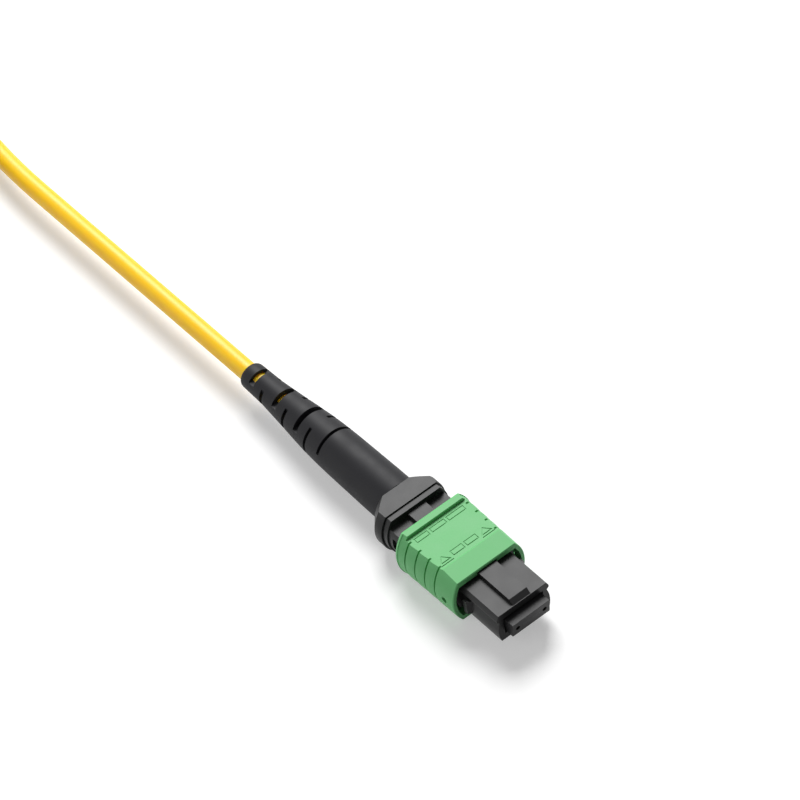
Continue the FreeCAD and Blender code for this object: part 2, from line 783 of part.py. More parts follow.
def bent_wire(points, radius, sides):
    """A solid wire along a bent line: a many-sided section, mitred at every bend."""
    heading = (points[1] - points[0]).normalize()
    across = heading.cross(V(1, 0, 0)).normalize()
    up = heading.cross(across)
    rim = []
    for i in range(sides):
        angle = 2 * math.pi * i / sides
        rim.append(points[0] + across * (radius * math.cos(angle)) + up * (radius * math.sin(angle)))
    rims = [rim]
    for i in range(1, len(points)):
        along = (points[i] - points[i - 1]).normalize()
        onward = (points[i + 1] - points[i]).normalize() if i + 1 < len(points) else along
        mitre = along + onward
        steps = [(points[i] - p).dot(mitre) / along.dot(mitre) for p in rims[-1]]
        rims.append([p + along * step for p, step in zip(rims[-1], steps)])
    faces = [Part.Face(Part.makePolygon(end + end[:1])) for end in (rims[0], rims[-1])]
    for near, far in zip(rims, rims[1:]):
        for i in range(sides):
            j = (i + 1) % sides
            faces.append(Part.Face(Part.makePolygon([near[i], near[j], far[j], far[i], near[i]])))
    shell = Part.makeShell(faces)
    shell.sewShape()
    solid = Part.makeSolid(shell)
    return solid if solid.Volume > 0 else solid.reversed()


def spring_places(front, back, wire_radius, turns, steps):
    """Places along the axis: the end turns lie close, the ones between share the rest."""
    first = front + wire_radius * 1.2
    last = back - wire_radius * 1.2
    close = wire_radius * 2.2
    open_pitch = (last - first - 2 * close) / (turns - 2)
    places = []
    for step in range(turns * steps + 1):
        turn = step / steps
        middle = min(max(turn - 1, 0), turns - 2)
        places.append(first + close * (turn - middle) + open_pitch * middle)
    return places


def side_spring(name, side):
    """Round spring in a side channel, between the sleeve's lug and the channel's rear wall."""
    turns, steps = 6, 6
    radius = d.side_spring_radius.value
    rear = d.channel_rear.value
    places = spring_places(d.lug_rear.value, rear, d.side_wire_radius.value, turns, steps)
    points = []
    for step, place in enumerate(places):
        angle = 2 * math.pi * step / steps
        reach = d.side_spring_reach.value + radius * math.cos(angle)
        points.append(V(-place, side * reach, radius * math.sin(angle)))
    coil = doc.addObject("Part::Feature", name)
    coil.Label = name
    coil.Shape = bent_wire(points, d.side_wire_radius.value, WIRE_SIDES)
    return coil


def ferrule_spring(name):
    """Oval spring: straight long sides and round ends, so it fills the flat cavity."""
    turns, end_steps = 5, 3
    half_height = d.ferrule_spring_rise.value
    straight = d.ferrule_spring_reach.value - half_height
    section = []
    for side in (1, -1):
        for step in range(end_steps + 1):
            angle = math.pi * (step / end_steps - 0.5)
            across = side * (straight + half_height * math.cos(angle))
            section.append((across, side * half_height * math.sin(angle)))
    front = d.keeper_rear.value
    back = d.push_front.value
    places = spring_places(front, back, d.ferrule_wire_radius.value, turns, len(section))
    points = []
    for step, place in enumerate(places):
        across, up = section[step % len(section)]
        points.append(V(-place, across, up))
    coil = doc.addObject("Part::Feature", name)
    coil.Label = name
    coil.Shape = bent_wire(points, d.ferrule_wire_radius.value, WIRE_SIDES)
    return coil


# ---------------------------------------------------------------- both connectors


def set_place(piece, x, y, z):
    """Puts a piece in the model, with the place tied to the sheet."""
    piece.Placement.Base = V(x.value, y.value, z.value)
    bind(piece, "Placement.Base.x", x)
    bind(piece, "Placement.Base.y", y)
    bind(piece, "Placement.Base.z", z)


def connector(prefix, x, y, z, grooves, slots):
    """All the pieces of one connector, at one place; the far one's sleeve and boot stay plain."""
    pieces = [
        inner_housing(prefix + "inner_housing"),
        pull_sleeve(prefix + "pull_sleeve", grooves),
        side_spring(prefix + "coupling_spring_left", 1),
        side_spring(prefix + "coupling_spring_right", -1),
        ferrule(prefix + "ferrule"),
        ferrule_boot(prefix + "ferrule_boot"),
        pin_keeper(prefix + "pin_keeper"),
        ferrule_spring(prefix + "ferrule_spring"),
        fibre_ribbon(prefix + "fibre_ribbon"),
        rear_body(prefix + "rear_body"),
        aramid_yarn(prefix + "aramid_yarn"),
        crimp_ring(prefix + "crimp_ring"),
        back_shell(prefix + "back_shell"),
        boot(prefix + "boot", slots),
        cable_end(prefix + "cable_end"),
    ]
    for piece in pieces:
        set_place(piece, x, y, z)
    return pieces


# ---------------------------------------------------------------- cord

# The cord leaves the near boot's end. Its spare length is folded into a hank of strands that
# lie two wide and three high in a tie, and the far connector lies on top of the hank.
d.near_exit = d.centre_shift - d.boot_end
d.strand_pitch = d.cord_radius * 2 + d.strand_gap
d.hank_half_thickness = d.strand_pitch * HANK_STRANDS_WIDE / 2
d.hank_inner_radius = d.hank_fold_radius - d.strand_pitch / 2
d.hank_outer_radius = d.hank_inner_radius + d.hank_half_thickness * 2
d.hank_height = d.strand_pitch * HANK_LAYERS
d.hank_top = d.tie_thickness + d.hank_height
d.far_axis_height = d.hank_top + d.rest_gap + d.axis_height

d.hank_near = d.near_exit - d.hank_distance
d.hank_far = d.hank_near - d.hank_run
d.hank_middle = d.hank_near - d.hank_run / 2
d.hank_axis = -d.hank_side
d.far_exit = d.hank_far + d.tail_length
d.far_axis = d.hank_axis - d.hank_fold_radius

# Route points chosen by hand. The cord runs straight out of the boot and comes down and aside
# to the hank's outer strand; from the fold on top of the hank it rises into the far boot.
EXIT_X = d.near_exit.value
FOLD_END_X = d.hank_far.value
STRAND_Y = (d.hank_axis + d.hank_fold_radius + d.strand_pitch).value
FAR_Y = d.far_axis.value
FAR_Z = d.far_axis_height.value
BOTTOM_STRAND = (d.tie_thickness + d.cord_radius).value
FOLD_STRAND = (d.tie_thickness + d.cord_radius + d.strand_pitch * HANK_LAYERS).value
RUN = [
    (EXIT_X, 0.0, d.axis_height.value),
    (EXIT_X - 58.5, 0.0, d.axis_height.value - 0.6),
    (EXIT_X - 75.5, STRAND_Y - 1.0, BOTTOM_STRAND + 0.4),
    (EXIT_X - 92.5, STRAND_Y, BOTTOM_STRAND),
]
TAIL = [
    (FOLD_END_X - 1.0, FAR_Y, FOLD_STRAND),
    (FOLD_END_X + 5.0, FAR_Y, FOLD_STRAND + 0.3),
    (FOLD_END_X + 11.0, FAR_Y, FAR_Z - 0.3),
    (d.far_exit.value, FAR_Y, FAR_Z),
]


def rounded_route(name, points):
    """Straight runs joined by tangent arcs, each as large as its two runs allow."""
    points = [V(*p) for p in points]
    edges = []
    start = points[0]
    for before, corner, after in zip(points, points[1:], points[2:]):
        back = (before - corner).normalize()
        onward = (after - corner).normalize()
        setback = 0.45 * min((before - corner).Length, (after - corner).Length)
        half_turn = (math.pi - back.getAngle(onward)) / 2
        radius = setback / math.tan(half_turn)
        print("%s: bend of radius %.1f mm at x %.1f" % (name, radius, corner.x))
        first = corner + back * setback
        last = corner + onward * setback
        inward = (back + onward).normalize()
        middle = corner + inward * (radius / math.cos(half_turn) - radius)
        edges.append(Part.LineSegment(start, first).toShape())
        edges.append(Part.Arc(first, middle, last).toShape())
        start = last
    edges.append(Part.LineSegment(start, points[-1]).toShape())
    return Part.Wire(edges)


def cord_tube(name, points):
    """The cord along one stretch that isn't coiled."""
    route = rounded_route(name, points)
    radius = d.cord_radius.value
    start = V(*points[0])
    section = Part.Wire(Part.makeCircle(radius, start, V(*points[1]) - start))
    tube = doc.addObject("Part::Feature", name)
    tube.Label = name
    tube.Shape = route.makePipeShell([section], True, True)
    expected = math.pi * radius**2 * route.Length
    if abs(tube.Shape.Volume - expected) > expected / 500:
        raise ValueError("%s: volume %.2f, expected %.2f" % (name, tube.Shape.Volume, expected))
    return tube, route.Length


def racetrack(radius, length):
    """Two straight runs joined by round folds, round the hank's middle line."""
    half = sized(length) / 2
    return [
        (half, -radius, radius),
        (half + radius, NONE, radius),
        (half, radius),
        (-half, radius, radius),
        (-(half + radius), NONE, radius),
        (-half, -radius),
    ]


def half_fold(inside, outside):
    """The far fold of one strand that lies on top of the others."""
    half = d.hank_run / 2
    return [
        (-half, outside, outside),
        (-(half + outside), NONE, outside),
        (-half, -outside),
        (-half, -inside, -inside),
        (-(half + inside), NONE, -inside),
        (-half, inside),
    ]


def cord_hank(name):
    """The outer shape of the folded part of the cord, lying flat in its tie."""
    hank = Piece(name)
    loops = [racetrack(radius, d.hank_run) for radius in (d.hank_outer_radius, d.hank_inner_radius)]
    strands = hank.sketch("XY_Plane", NONE, loops)
    hank.feature("Pad", strands, {}, {"Length": d.hank_height})
    last_fold = half_fold(d.hank_inner_radius, d.hank_inner_radius + d.strand_pitch)
    top_strand = hank.sketch("XY_Plane", d.hank_height, [last_fold])
    hank.feature("Pad", top_strand, {}, {"Length": d.strand_pitch})
    set_place(hank.body, d.hank_middle, d.hank_axis, d.tie_thickness)
    return hank.body


def hank_tie(name):
    """Flat strap closed round the hank's middle."""
    strap = Piece(name)
    inner_half = d.hank_outer_radius + d.tie_gap
    outer_half = inner_half + d.tie_thickness
    inner_top = d.tie_thickness + d.hank_height + d.tie_gap
    outside = rectangle(-outer_half, outer_half, NONE, inner_top + d.tie_thickness)
    inside = rectangle(-inner_half, inner_half, d.tie_thickness, inner_top)
    profile = strap.sketch("YZ_Plane", -(d.tie_width / 2), [outside, inside])
    strap.feature("Pad", profile, {}, {"Length": d.tie_width})
    set_place(strap.body, d.hank_middle, d.hank_axis, NONE)
    return strap.body


# ---------------------------------------------------------------- the model

pieces = connector("", d.centre_shift, NONE, d.axis_height, GROOVE_COUNT, SLOT_COUNT)
pieces += connector("far_", d.far_exit + d.boot_end, d.far_axis, d.far_axis_height, 0, 0)
run, run_length = cord_tube("cord_run", RUN)
tail, tail_length = cord_tube("cord_tail", TAIL)
pieces += [run, cord_hank("cord_hank"), hank_tie("hank_tie"), tail]
turn_length = 2 * d.hank_run.value + 2 * math.pi * (d.hank_inner_radius + d.hank_half_thickness).value
last_strand = RUN[-1][0] - TAIL[0][0] + math.pi * d.hank_fold_radius.value
length = run_length + HANK_TURNS * turn_length + last_strand + tail_length
print("cord: %.0f mm, of which %.0f mm is in the hank" % (length, length - run_length - tail_length))

doc.recompute()
for item in doc.Objects:
    if "Invalid" in item.State or "Error" in item.State:
        raise ValueError("%s is in state %s" % (item.Name, item.State))
for piece in pieces:
    if piece.Shape.isNull() or not piece.Shape.isValid() or len(piece.Shape.Solids) != 1:
        raise ValueError("%s has no single valid solid" % piece.Label)

os.makedirs("parts", exist_ok=True)
for piece in pieces:
    piece.Shape.exportStep(os.path.join("parts", piece.Label + ".step"))
print("%d pieces written" % len(pieces))
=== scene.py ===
# %% [markdown]
# A multi-fibre push-on connector lies on a pale table at the end of its yellow cord. The packed
# CAD model gives the places, the bodies and the joints; this script draws the finer shapes and
# gives them their finish. Each shape is modelled once in millimetres, from the front face of the
# nose: +X runs out of the nose, +Y goes across it and +Z is the side with the key. Then it is
# set in place in metres at both ends.

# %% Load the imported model
import math

import bmesh
import bpy
from mathutils import Matrix, Vector


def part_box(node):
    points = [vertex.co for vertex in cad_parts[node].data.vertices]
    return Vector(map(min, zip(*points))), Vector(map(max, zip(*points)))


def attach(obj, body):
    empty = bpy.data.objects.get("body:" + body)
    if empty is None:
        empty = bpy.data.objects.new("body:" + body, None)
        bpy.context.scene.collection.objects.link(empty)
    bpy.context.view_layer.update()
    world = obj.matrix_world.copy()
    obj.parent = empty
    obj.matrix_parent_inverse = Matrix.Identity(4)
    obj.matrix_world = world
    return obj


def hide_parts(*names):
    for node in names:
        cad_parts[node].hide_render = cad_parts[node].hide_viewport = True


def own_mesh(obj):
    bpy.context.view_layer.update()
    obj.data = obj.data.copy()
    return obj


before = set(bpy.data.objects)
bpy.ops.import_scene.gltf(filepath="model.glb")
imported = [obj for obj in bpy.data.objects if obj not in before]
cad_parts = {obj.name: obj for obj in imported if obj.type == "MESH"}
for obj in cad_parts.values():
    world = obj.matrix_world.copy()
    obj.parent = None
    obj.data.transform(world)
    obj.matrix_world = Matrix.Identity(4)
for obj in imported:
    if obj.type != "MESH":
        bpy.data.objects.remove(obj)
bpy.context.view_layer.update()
print("nodes:", len(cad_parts))

MM = 0.001

# %% [markdown]
# The same connector sits at both ends of the cord. A prefix tells the far one's nodes from the
# near one's, and its datum is the middle of the nose's front face.

# %% Where each connector sits
PREFIXES = ("", "far_")


def datum(prefix):
    """The middle of the nose's front face, in metres."""
    _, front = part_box(prefix + "inner_housing")
    sleeve_low, sleeve_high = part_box(prefix + "pull_sleeve")
    middle = (sleeve_low + sleeve_high) / 2
    return Vector((front.x, middle.y, middle.z))


DATUMS = {prefix: datum(prefix) for prefix in PREFIXES}
print("noses at", DATUMS)

# %% [markdown]
# Moulded plastic is never one flat colour: light catches a fine grain, and the gloss varies a
# little from place to place. One function builds that finish from noise in object space, so it
# doesn't slide when the piece moves. Another one does the same for drawn wire and turned metal,
# whose shine changes along the surface.

# %% How a finish is built
CLOUDS_PER_METRE = 420
STREAKS_PER_METRE = 3000
GRAIN_STRENGTH = 0.35


def new_material(name, base_color, roughness):
    material = bpy.data.materials.new(name)
    material.use_nodes = True
    shader = material.node_tree.nodes["Principled BSDF"]
    shader.inputs["Base Color"].default_value = (*base_color, 1)
    shader.inputs["Roughness"].default_value = roughness
    return material, shader


def add_node(material, kind, **settings):
    node = material.node_tree.nodes.new(kind)
    for name, value in settings.items():
        setattr(node, name, value)
    return node


def noise(material, grains_per_metre, detail):
    """Noise over the piece's own coordinates, which are in metres."""
    links = material.node_tree.links
    where = add_node(material, "ShaderNodeTexCoord")
    grain = add_node(material, "ShaderNodeTexNoise")
    grain.inputs["Scale"].default_value = grains_per_metre
    grain.inputs["Detail"].default_value = detail
    links.new(where.outputs["Object"], grain.inputs["Vector"])
    return grain.outputs["Fac"]


def ranged(material, source, low, high):
    """Turns noise, which lies mostly between 0.3 and 0.7, into a value between low and high."""
    spread = add_node(material, "ShaderNodeMapRange")
    spread.inputs["From Min"].default_value = 0.3
    spread.inputs["From Max"].default_value = 0.7
    spread.inputs["To Min"].default_value = low
    spread.inputs["To Max"].default_value = high
    material.node_tree.links.new(source, spread.inputs["Value"])
    return spread.outputs["Result"]


def moulded_plastic(name, color, roughness, grain_per_metre, grain_height, tint=0.08, gloss=0.5):
    """Satin plastic: mottled roughness, a faint change of tone and a fine sparked grain."""
    material, shader = new_material(name, color, roughness)
    shader.inputs["Specular IOR Level"].default_value = gloss
    links = material.node_tree.links
    cloud = noise(material, CLOUDS_PER_METRE, 2)
    tone = add_node(material, "ShaderNodeMix", data_type="RGBA")
    tone.inputs["A"].default_value = (*[c * (1 - tint) for c in color], 1)
    tone.inputs["B"].default_value = (*[min(1, c * (1 + tint)) for c in color], 1)
    links.new(cloud, tone.inputs["Factor"])
    links.new(tone.outputs["Result"], shader.inputs["Base Color"])
    rough = ranged(material, cloud, roughness * 0.94, roughness * 1.06)
    links.new(rough, shader.inputs["Roughness"])
    bump = add_node(material, "ShaderNodeBump")
    bump.inputs["Strength"].default_value = GRAIN_STRENGTH
    bump.inputs["Distance"].default_value = grain_height
    links.new(noise(material, grain_per_metre, 4), bump.inputs["Height"])
    links.new(bump.outputs["Normal"], shader.inputs["Normal"])
    return material


def let_light_through(material, depth):
    """Lets light spread inside a soft translucent sheath, which evens out its shaded side."""
    shader = material.node_tree.nodes["Principled BSDF"]
    shader.inputs["Subsurface Weight"].default_value = 0.6
    shader.inputs["Subsurface Radius"].default_value = (1.0, 0.6, 0.2)
    shader.inputs["Subsurface Scale"].default_value = depth


def plain_metal(name, color, roughness):
    """Drawn or turned metal, with roughness that varies along its surface."""
    material, shader = new_material(name, color, roughness)
    shader.inputs["Metallic"].default_value = 1.0
    rough = ranged(material, noise(material, STREAKS_PER_METRE, 3), roughness * 0.8, roughness * 1.25)
    material.node_tree.links.new(rough, shader.inputs["Roughness"])
    return material


print("clouds of tone are", round(1 / CLOUDS_PER_METRE / MM, 1), "mm wide")

# %% [markdown]
# The housing, the collar and the ferrule are dark filled plastics, the sleeve is a green one, and
# the boot is a soft satin rubber. The cord's yellow sheath lets a little light in. The strap is
# woven, which a coarse deep grain stands for. Only the springs and the ring that is crimped
# inside the collar are metal.

# %% Materials
MICRON = 0.001 * MM

HOUSING = moulded_plastic(
    "dark_housing_plastic", (0.018, 0.018, 0.0185), 0.36, 9000, 10 * MICRON, gloss=0.17
)
SLEEVE = moulded_plastic(
    "green_sleeve_plastic", (0.147, 0.49, 0.183), 0.42, 8000, 10 * MICRON, 0.04, gloss=0.15
)
FERRULE = moulded_plastic(
    "filled_ferrule_resin", (0.018, 0.018, 0.019), 0.38, 16000, 6 * MICRON, gloss=0.16
)
RUBBER = moulded_plastic(
    "black_boot_rubber", (0.011, 0.011, 0.013), 0.54, 12000, 8 * MICRON, gloss=0.18
)
SHEATH = moulded_plastic(
    "yellow_cord_sheath", (1.0, 0.59, 0.007), 0.4, 5000, 10 * MICRON, 0.03, gloss=0.35
)
let_light_through(SHEATH, 1.5 * MM)
STRAP = moulded_plastic("black_loop_strap", (0.02, 0.02, 0.022), 0.85, 2600, 120 * MICRON, 0.3)
YARN = moulded_plastic("aramid_yarn", (0.75, 0.58, 0.14), 0.6, 6000, 30 * MICRON, 0.15)
RIBBON = moulded_plastic("ribbon_coating", (0.1, 0.35, 0.6), 0.3, 4000, 4 * MICRON)
GLASS = moulded_plastic("polished_fibre_ends", (0.1, 0.11, 0.12), 0.2, 4000, 1 * MICRON)
SPRING = plain_metal("spring_wire", (0.6, 0.6, 0.62), 0.28)
CRIMP = plain_metal("plated_crimp_metal", (0.72, 0.6, 0.38), 0.34)
print("finishes:", len(bpy.data.materials))

# %% [markdown]
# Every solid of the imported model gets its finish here, also those that a finer shape replaces
# further down. The pieces inside, such as the yarn under the crimp ring, stay as they are.

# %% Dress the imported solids
FINISHES = {
    "inner_housing": HOUSING,
    "pull_sleeve": SLEEVE,
    "coupling_spring_left": SPRING,
    "coupling_spring_right": SPRING,
    "ferrule": FERRULE,
    "ferrule_boot": RUBBER,
    "pin_keeper": FERRULE,
    "ferrule_spring": SPRING,
    "fibre_ribbon": RIBBON,
    "rear_body": HOUSING,
    "aramid_yarn": YARN,
    "crimp_ring": CRIMP,
    "back_shell": HOUSING,
    "boot": RUBBER,
    "cable_end": SHEATH,
}
CORD_NODES = ("cord_run", "cord_hank", "cord_tail")


def dress(item, material):
    item.data.materials.clear()
    item.data.materials.append(material)


for prefix in PREFIXES:
    for name, material in FINISHES.items():
        dress(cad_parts[prefix + name], material)
for name in CORD_NODES:
    dress(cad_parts[name], SHEATH)
dress(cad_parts["hank_tie"], STRAP)
print("dressed solids:", len(PREFIXES) * len(FINISHES) + len(CORD_NODES) + 1)

# %% [markdown]
# Nearly every piece of the connector is a flat outline that is given a thickness, or a profile
# that is turned round the axis. Short functions draw the outlines that keep coming back. In a
# view from the side or from above a place behind the nose is negative; in the profile of a
# turned shape it is a plain distance.

# %% Outlines
ALONG = 0
ACROSS = 1
UPWARD = 2


def arc(start, end, radius, steps=12):
    """Points of an arc to the right of the way from start to end, without its last point."""
    start, end = Vector(start), Vector(end)
    chord = end - start
    away = Vector((chord.y, -chord.x)).normalized()
    centre = (start + end) / 2 - away * math.sqrt(radius**2 - (chord.length / 2) ** 2)
    first = math.atan2(start.y - centre.y, start.x - centre.x)
    sweep = 2 * math.asin(chord.length / 2 / radius)
    turns = [first + sweep * step / steps for step in range(steps)]
    return [(centre.x + radius * math.cos(t), centre.y + radius * math.sin(t)) for t in turns]


def rectangle(left, right, low, high):
    return [(left, low), (right, low), (right, high), (left, high)]


def upright(half_width, half_height):
    return rectangle(-half_width, half_width, -half_height, half_height)


def both_sides(low, high, half_height):
    """A rectangle on each side of the axis, between two distances from it."""
    right = rectangle(low, high, -half_height, half_height)
    left = rectangle(-high, -low, -half_height, half_height)
    return [right, left]


def flatted(radius, half_height):
    """A circle cut off flat at the top and the bottom."""
    reach = math.sqrt(radius**2 - half_height**2)
    right = arc((reach, -half_height), (reach, half_height), radius)
    left = arc((-reach, half_height), (-reach, -half_height), radius)
    return [*right, (reach, half_height), *left, (-reach, -half_height)]


def with_mirror(outline):
    """An outline and the same one on the other side of the axis."""
    return [outline, [(along, -offset) for along, offset in outline]]


print("a circle with two flats has", len(flatted(2, 1)), "points")

# %% [markdown]
# The outlines become solid shapes in one of three ways: a thickness along the axis, across it or
# upwards, a full turn round the axis, or a round rod for a hole.

# %% Prisms, turned shapes and rods
FINE_STEPS = 96


def thicken(shape, step):
    """Gives the flat faces of a shape a thickness along one step."""
    grown = bmesh.ops.extrude_face_region(shape, geom=shape.faces[:])
    moved = [item for item in grown["geom"] if isinstance(item, bmesh.types.BMVert)]
    bmesh.ops.translate(shape, verts=moved, vec=step)
    bmesh.ops.recalc_face_normals(shape, faces=shape.faces)


def prism(outline, direction, low, high):
    """Gives a flat outline a thickness along one direction of the connector."""
    shape = bmesh.new()
    others = [number for number in range(3) if number != direction]
    corners = []
    for point in outline:
        place = Vector((low, low, low))
        for number, value in zip(others, point):
            place[number] = value
        corners.append(shape.verts.new(place))
    shape.faces.new(corners)
    step = Vector((0, 0, 0))
    step[direction] = high - low
    thicken(shape, step)
    return shape


def behind(outline, front, back):
    """A prism along the axis, between two distances behind the nose's face."""
    return prism(outline, ALONG, -back, -front)


def turned(profile, steps=72):
    """Turns a profile of (distance behind the nose, radius) a full turn round the axis."""
    shape = bmesh.new()
    points = [shape.verts.new((-place, 0, radius)) for place, radius in profile]
    edges = [shape.edges.new(pair) for pair in zip(points, points[1:])]
    bmesh.ops.spin(
        shape,
        geom=points + edges,
        cent=(0, 0, 0),
        axis=(1, 0, 0),
        angle=math.tau,
        steps=steps,
        use_merge=True,
    )
    bmesh.ops.remove_doubles(shape, verts=shape.verts, dist=0.0005)
    bmesh.ops.recalc_face_normals(shape, faces=shape.faces)
    return shape


def rod(radius, start, end, steps=24):
    """A round rod between two points."""
    start, end = Vector(start), Vector(end)
    shape = bmesh.new()
    bmesh.ops.create_cone(
        shape,
        cap_ends=True,
        segments=steps,
        radius1=radius,
        radius2=radius,
        depth=(end - start).length,
    )
    turn = (end - start).to_track_quat("Z", "Y").to_matrix().to_4x4()
    place = Matrix.Translation((start + end) / 2)
    bmesh.ops.transform(shape, matrix=place @ turn, verts=shape.verts)
    return shape


print("a turned shape has", FINE_STEPS, "faces round it at the finest")

# %% [markdown]
# A moulded part is one solid, so shapes are joined and cut by Boolean modifiers, which are then
# baked into one mesh. The shapes are helpers only, and they are removed after that.

# %% Join and cut
JOIN = "UNION"
CUT = "DIFFERENCE"


def as_mesh(shape, name="shape"):
    mesh = bpy.data.meshes.new(name)
    shape.to_mesh(mesh)
    shape.free()
    return mesh


def new_object(name, data):
    item = bpy.data.objects.new(name, data)
    bpy.context.scene.collection.objects.link(item)
    return item


def gathered(shapes):
    """Several shapes that don't touch, as one."""
    together = bmesh.new()
    for shape in shapes:
        mesh = as_mesh(shape)
        together.from_mesh(mesh)
        bpy.data.meshes.remove(mesh)
    return together


def worked(base, *steps):
    """Joins shapes to a base or cuts them from it, in order, and bakes one mesh."""
    items = [new_object("shape", as_mesh(base))]
    for operation, shape in steps:
        helper = new_object("shape", as_mesh(shape))
        change = items[0].modifiers.new(operation, "BOOLEAN")
        change.operation = operation
        change.solver = "EXACT"
        change.object = helper
        items.append(helper)
    depsgraph = bpy.context.evaluated_depsgraph_get()
    mesh = bpy.data.meshes.new_from_object(items[0].evaluated_get(depsgraph))
    for item in items:
        bpy.data.meshes.remove(item.data)
    return mesh


print("meshes before the first piece:", len(bpy.data.meshes))

# %% [markdown]
# The finished mesh is set down at each end of the cord. On most pieces a fine Bevel modifier
# rounds the sharp edges as a mould does: that is what catches light along them. The nodes that a
# finer shape stands for are remembered, since the cord's far end has to know its pieces.

# %% Set in place at both ends
SHARP_ANGLE = math.radians(32)

finer_nodes = set()


def round_edges(item, width, sharp_angle=SHARP_ANGLE):
    """Shades a piece smoothly between its sharp edges, and rounds those by a width."""
    item.data.shade_smooth()
    item.data.set_sharp_from_angle(angle=sharp_angle)
    if width > 0:
        bevel = item.modifiers.new("edges", "BEVEL")
        bevel.width = width * MM
        bevel.segments = 2
        bevel.limit_method = "ANGLE"
        bevel.angle_limit = SHARP_ANGLE
        bevel.harden_normals = True


def set_down(name, mesh, body, finish, nodes, edge_width, sharp_angle=SHARP_ANGLE):
    """Sets one shape in place at both ends of the cord."""
    for prefix in PREFIXES:
        placed = mesh.copy()
        placed.transform(Matrix.Translation(DATUMS[prefix]) @ Matrix.Scale(MM, 4))
        item = new_object(prefix + name, placed)
        dress(item, finish)
        round_edges(item, edge_width, sharp_angle)
        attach(item, body if body == "connector" else prefix + body)
        if nodes:
            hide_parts(*[prefix + node for node in nodes])
    finer_nodes.update(nodes)
    print(name, len(mesh.vertices), "points")
    bpy.data.meshes.remove(mesh)


print("edges sharper than", round(math.degrees(SHARP_ANGLE)), "degrees are rounded")

# %% [markdown]
# Pieces that fit together share these sizes. Places along the axis are distances behind the
# nose's front face, and half widths, half heights and radii count from the axis.

# %% Shared sizes
NOSE_REAR = 8.6
SHANK_RADIUS = 5.1
SHANK_HALF_HEIGHT = 2.0
KEY_HALF_WIDTH = 1.51
KEY_TOP = 3.24
FERRULE_STOP = 4.75
FERRULE_REAR = 6.3
KEEPER_REAR = 7.85
PUSH_FRONT = 15.05
LUG_REAR = 9.5
CHANNEL_REAR = 15.5
CHANNEL_FLOOR = 4.19
CHANNEL_HALF_HEIGHT = 0.73
FLANGE_FRONT = 22.13
CRIMP_ROOM_RADIUS = 2.96
print("room for a side spring:", CHANNEL_REAR - LUG_REAR, "mm")

# %% [markdown]
# The dark housing is the connector's backbone. Its nose has a flat top with a raised key that
# tells which way up it goes in, sides that belly out, and one catch on each side that an
# adapter's arms snap over. Behind the nose it is a slimmer round shank, flat above and below,
# with a channel along each side for a spring and a window where the rear body's hook snaps in.

# %% Housing
nose_right = [
    *arc((4.1, -2.51), (4.09, 1.19), 5.35, 8),
    (4.09, 1.19),
    (4.48, 1.55),
    (4.48, 1.87),
    (4.13, 2.58),
]
nose = nose_right + [(-across, up) for across, up in reversed(nose_right)]
key = [(0, 1.19), (0, 2.5), (-0.8, KEY_TOP), (-NOSE_REAR, KEY_TOP), (-NOSE_REAR, 1.19)]
catch = [(-5.1, 3.69), (-5.8, 5.05), (-6.5, 5.05), (-6.5, 3.69)]

shank = behind(flatted(SHANK_RADIUS, SHANK_HALF_HEIGHT), 7.9, FLANGE_FRONT)
key_tail = behind(rectangle(-KEY_HALF_WIDTH, KEY_HALF_WIDTH, 0, 2.71), 7.95, FLANGE_FRONT)
catches = gathered([prism(outline, UPWARD, -1.2, 1.2) for outline in with_mirror(catch)])
ferrule_window = behind(upright(3.41, 1.46), -0.4, 5.0)
ferrule_room = behind(upright(3.72, 1.62), FERRULE_STOP, 22.6)
channel_sides = both_sides(CHANNEL_FLOOR, 5.5, CHANNEL_HALF_HEIGHT)
channels = gathered([behind(side, 8.65, CHANNEL_REAR) for side in channel_sides])
hook_windows = gathered([behind(side, 19.4, 21.3) for side in both_sides(3.32, 5.5, 1.0)])
housing = worked(
    behind(nose, 0, NOSE_REAR),
    (JOIN, prism(key, ACROSS, -KEY_HALF_WIDTH, KEY_HALF_WIDTH)),
    (JOIN, shank),
    (JOIN, key_tail),
    (JOIN, catches),
    (CUT, ferrule_window),
    (CUT, ferrule_room),
    (CUT, channels),
    (CUT, hook_windows),
)
set_down("housing", housing, "connector", HOUSING, ["inner_housing"], 0.07)

# %% [markdown]
# The ferrule holds the fibres. Its face is polished at a slant of eight degrees, and the row of
# twelve fibre ends between the two guide holes is what the connector is for. A shoulder behind
# it stops against the housing.

# %% Ferrule
FERRULE_HALF_WIDTH = 3.2
FERRULE_HALF_HEIGHT = 1.25
GUIDE_HOLE_RADIUS = 0.35
GUIDE_HOLE_REACH = 2.3
FIBRES = 12
FIBRE_RADIUS = 0.0625
FIBRE_PITCH = 0.25

side_view = [
    (1.67, FERRULE_HALF_HEIGHT),
    (-FERRULE_REAR, FERRULE_HALF_HEIGHT),
    (-FERRULE_REAR, -FERRULE_HALF_HEIGHT),
    (1.33, -FERRULE_HALF_HEIGHT),
]
shoulder = behind(upright(3.6, 1.5), FERRULE_STOP, FERRULE_REAR)
guide_holes = [
    rod(GUIDE_HOLE_RADIUS, (-6.7, side * GUIDE_HOLE_REACH, 0), (2.0, side * GUIDE_HOLE_REACH, 0))
    for side in (-1, 1)
]
boot_room = behind(upright(1.74, 0.79), 3.2, 6.7)
fibre_slot = behind(upright(1.525, 0.2), 0.5, 3.6)
glue_window = behind(rectangle(-1.4, 1.4, 0, 1.65), 1.5, 3.5)
ferrule = worked(
    prism(side_view, ACROSS, -FERRULE_HALF_WIDTH, FERRULE_HALF_WIDTH),
    (JOIN, shoulder),
    (CUT, gathered(guide_holes)),
    (CUT, boot_room),
    (CUT, fibre_slot),
    (CUT, glue_window),
)
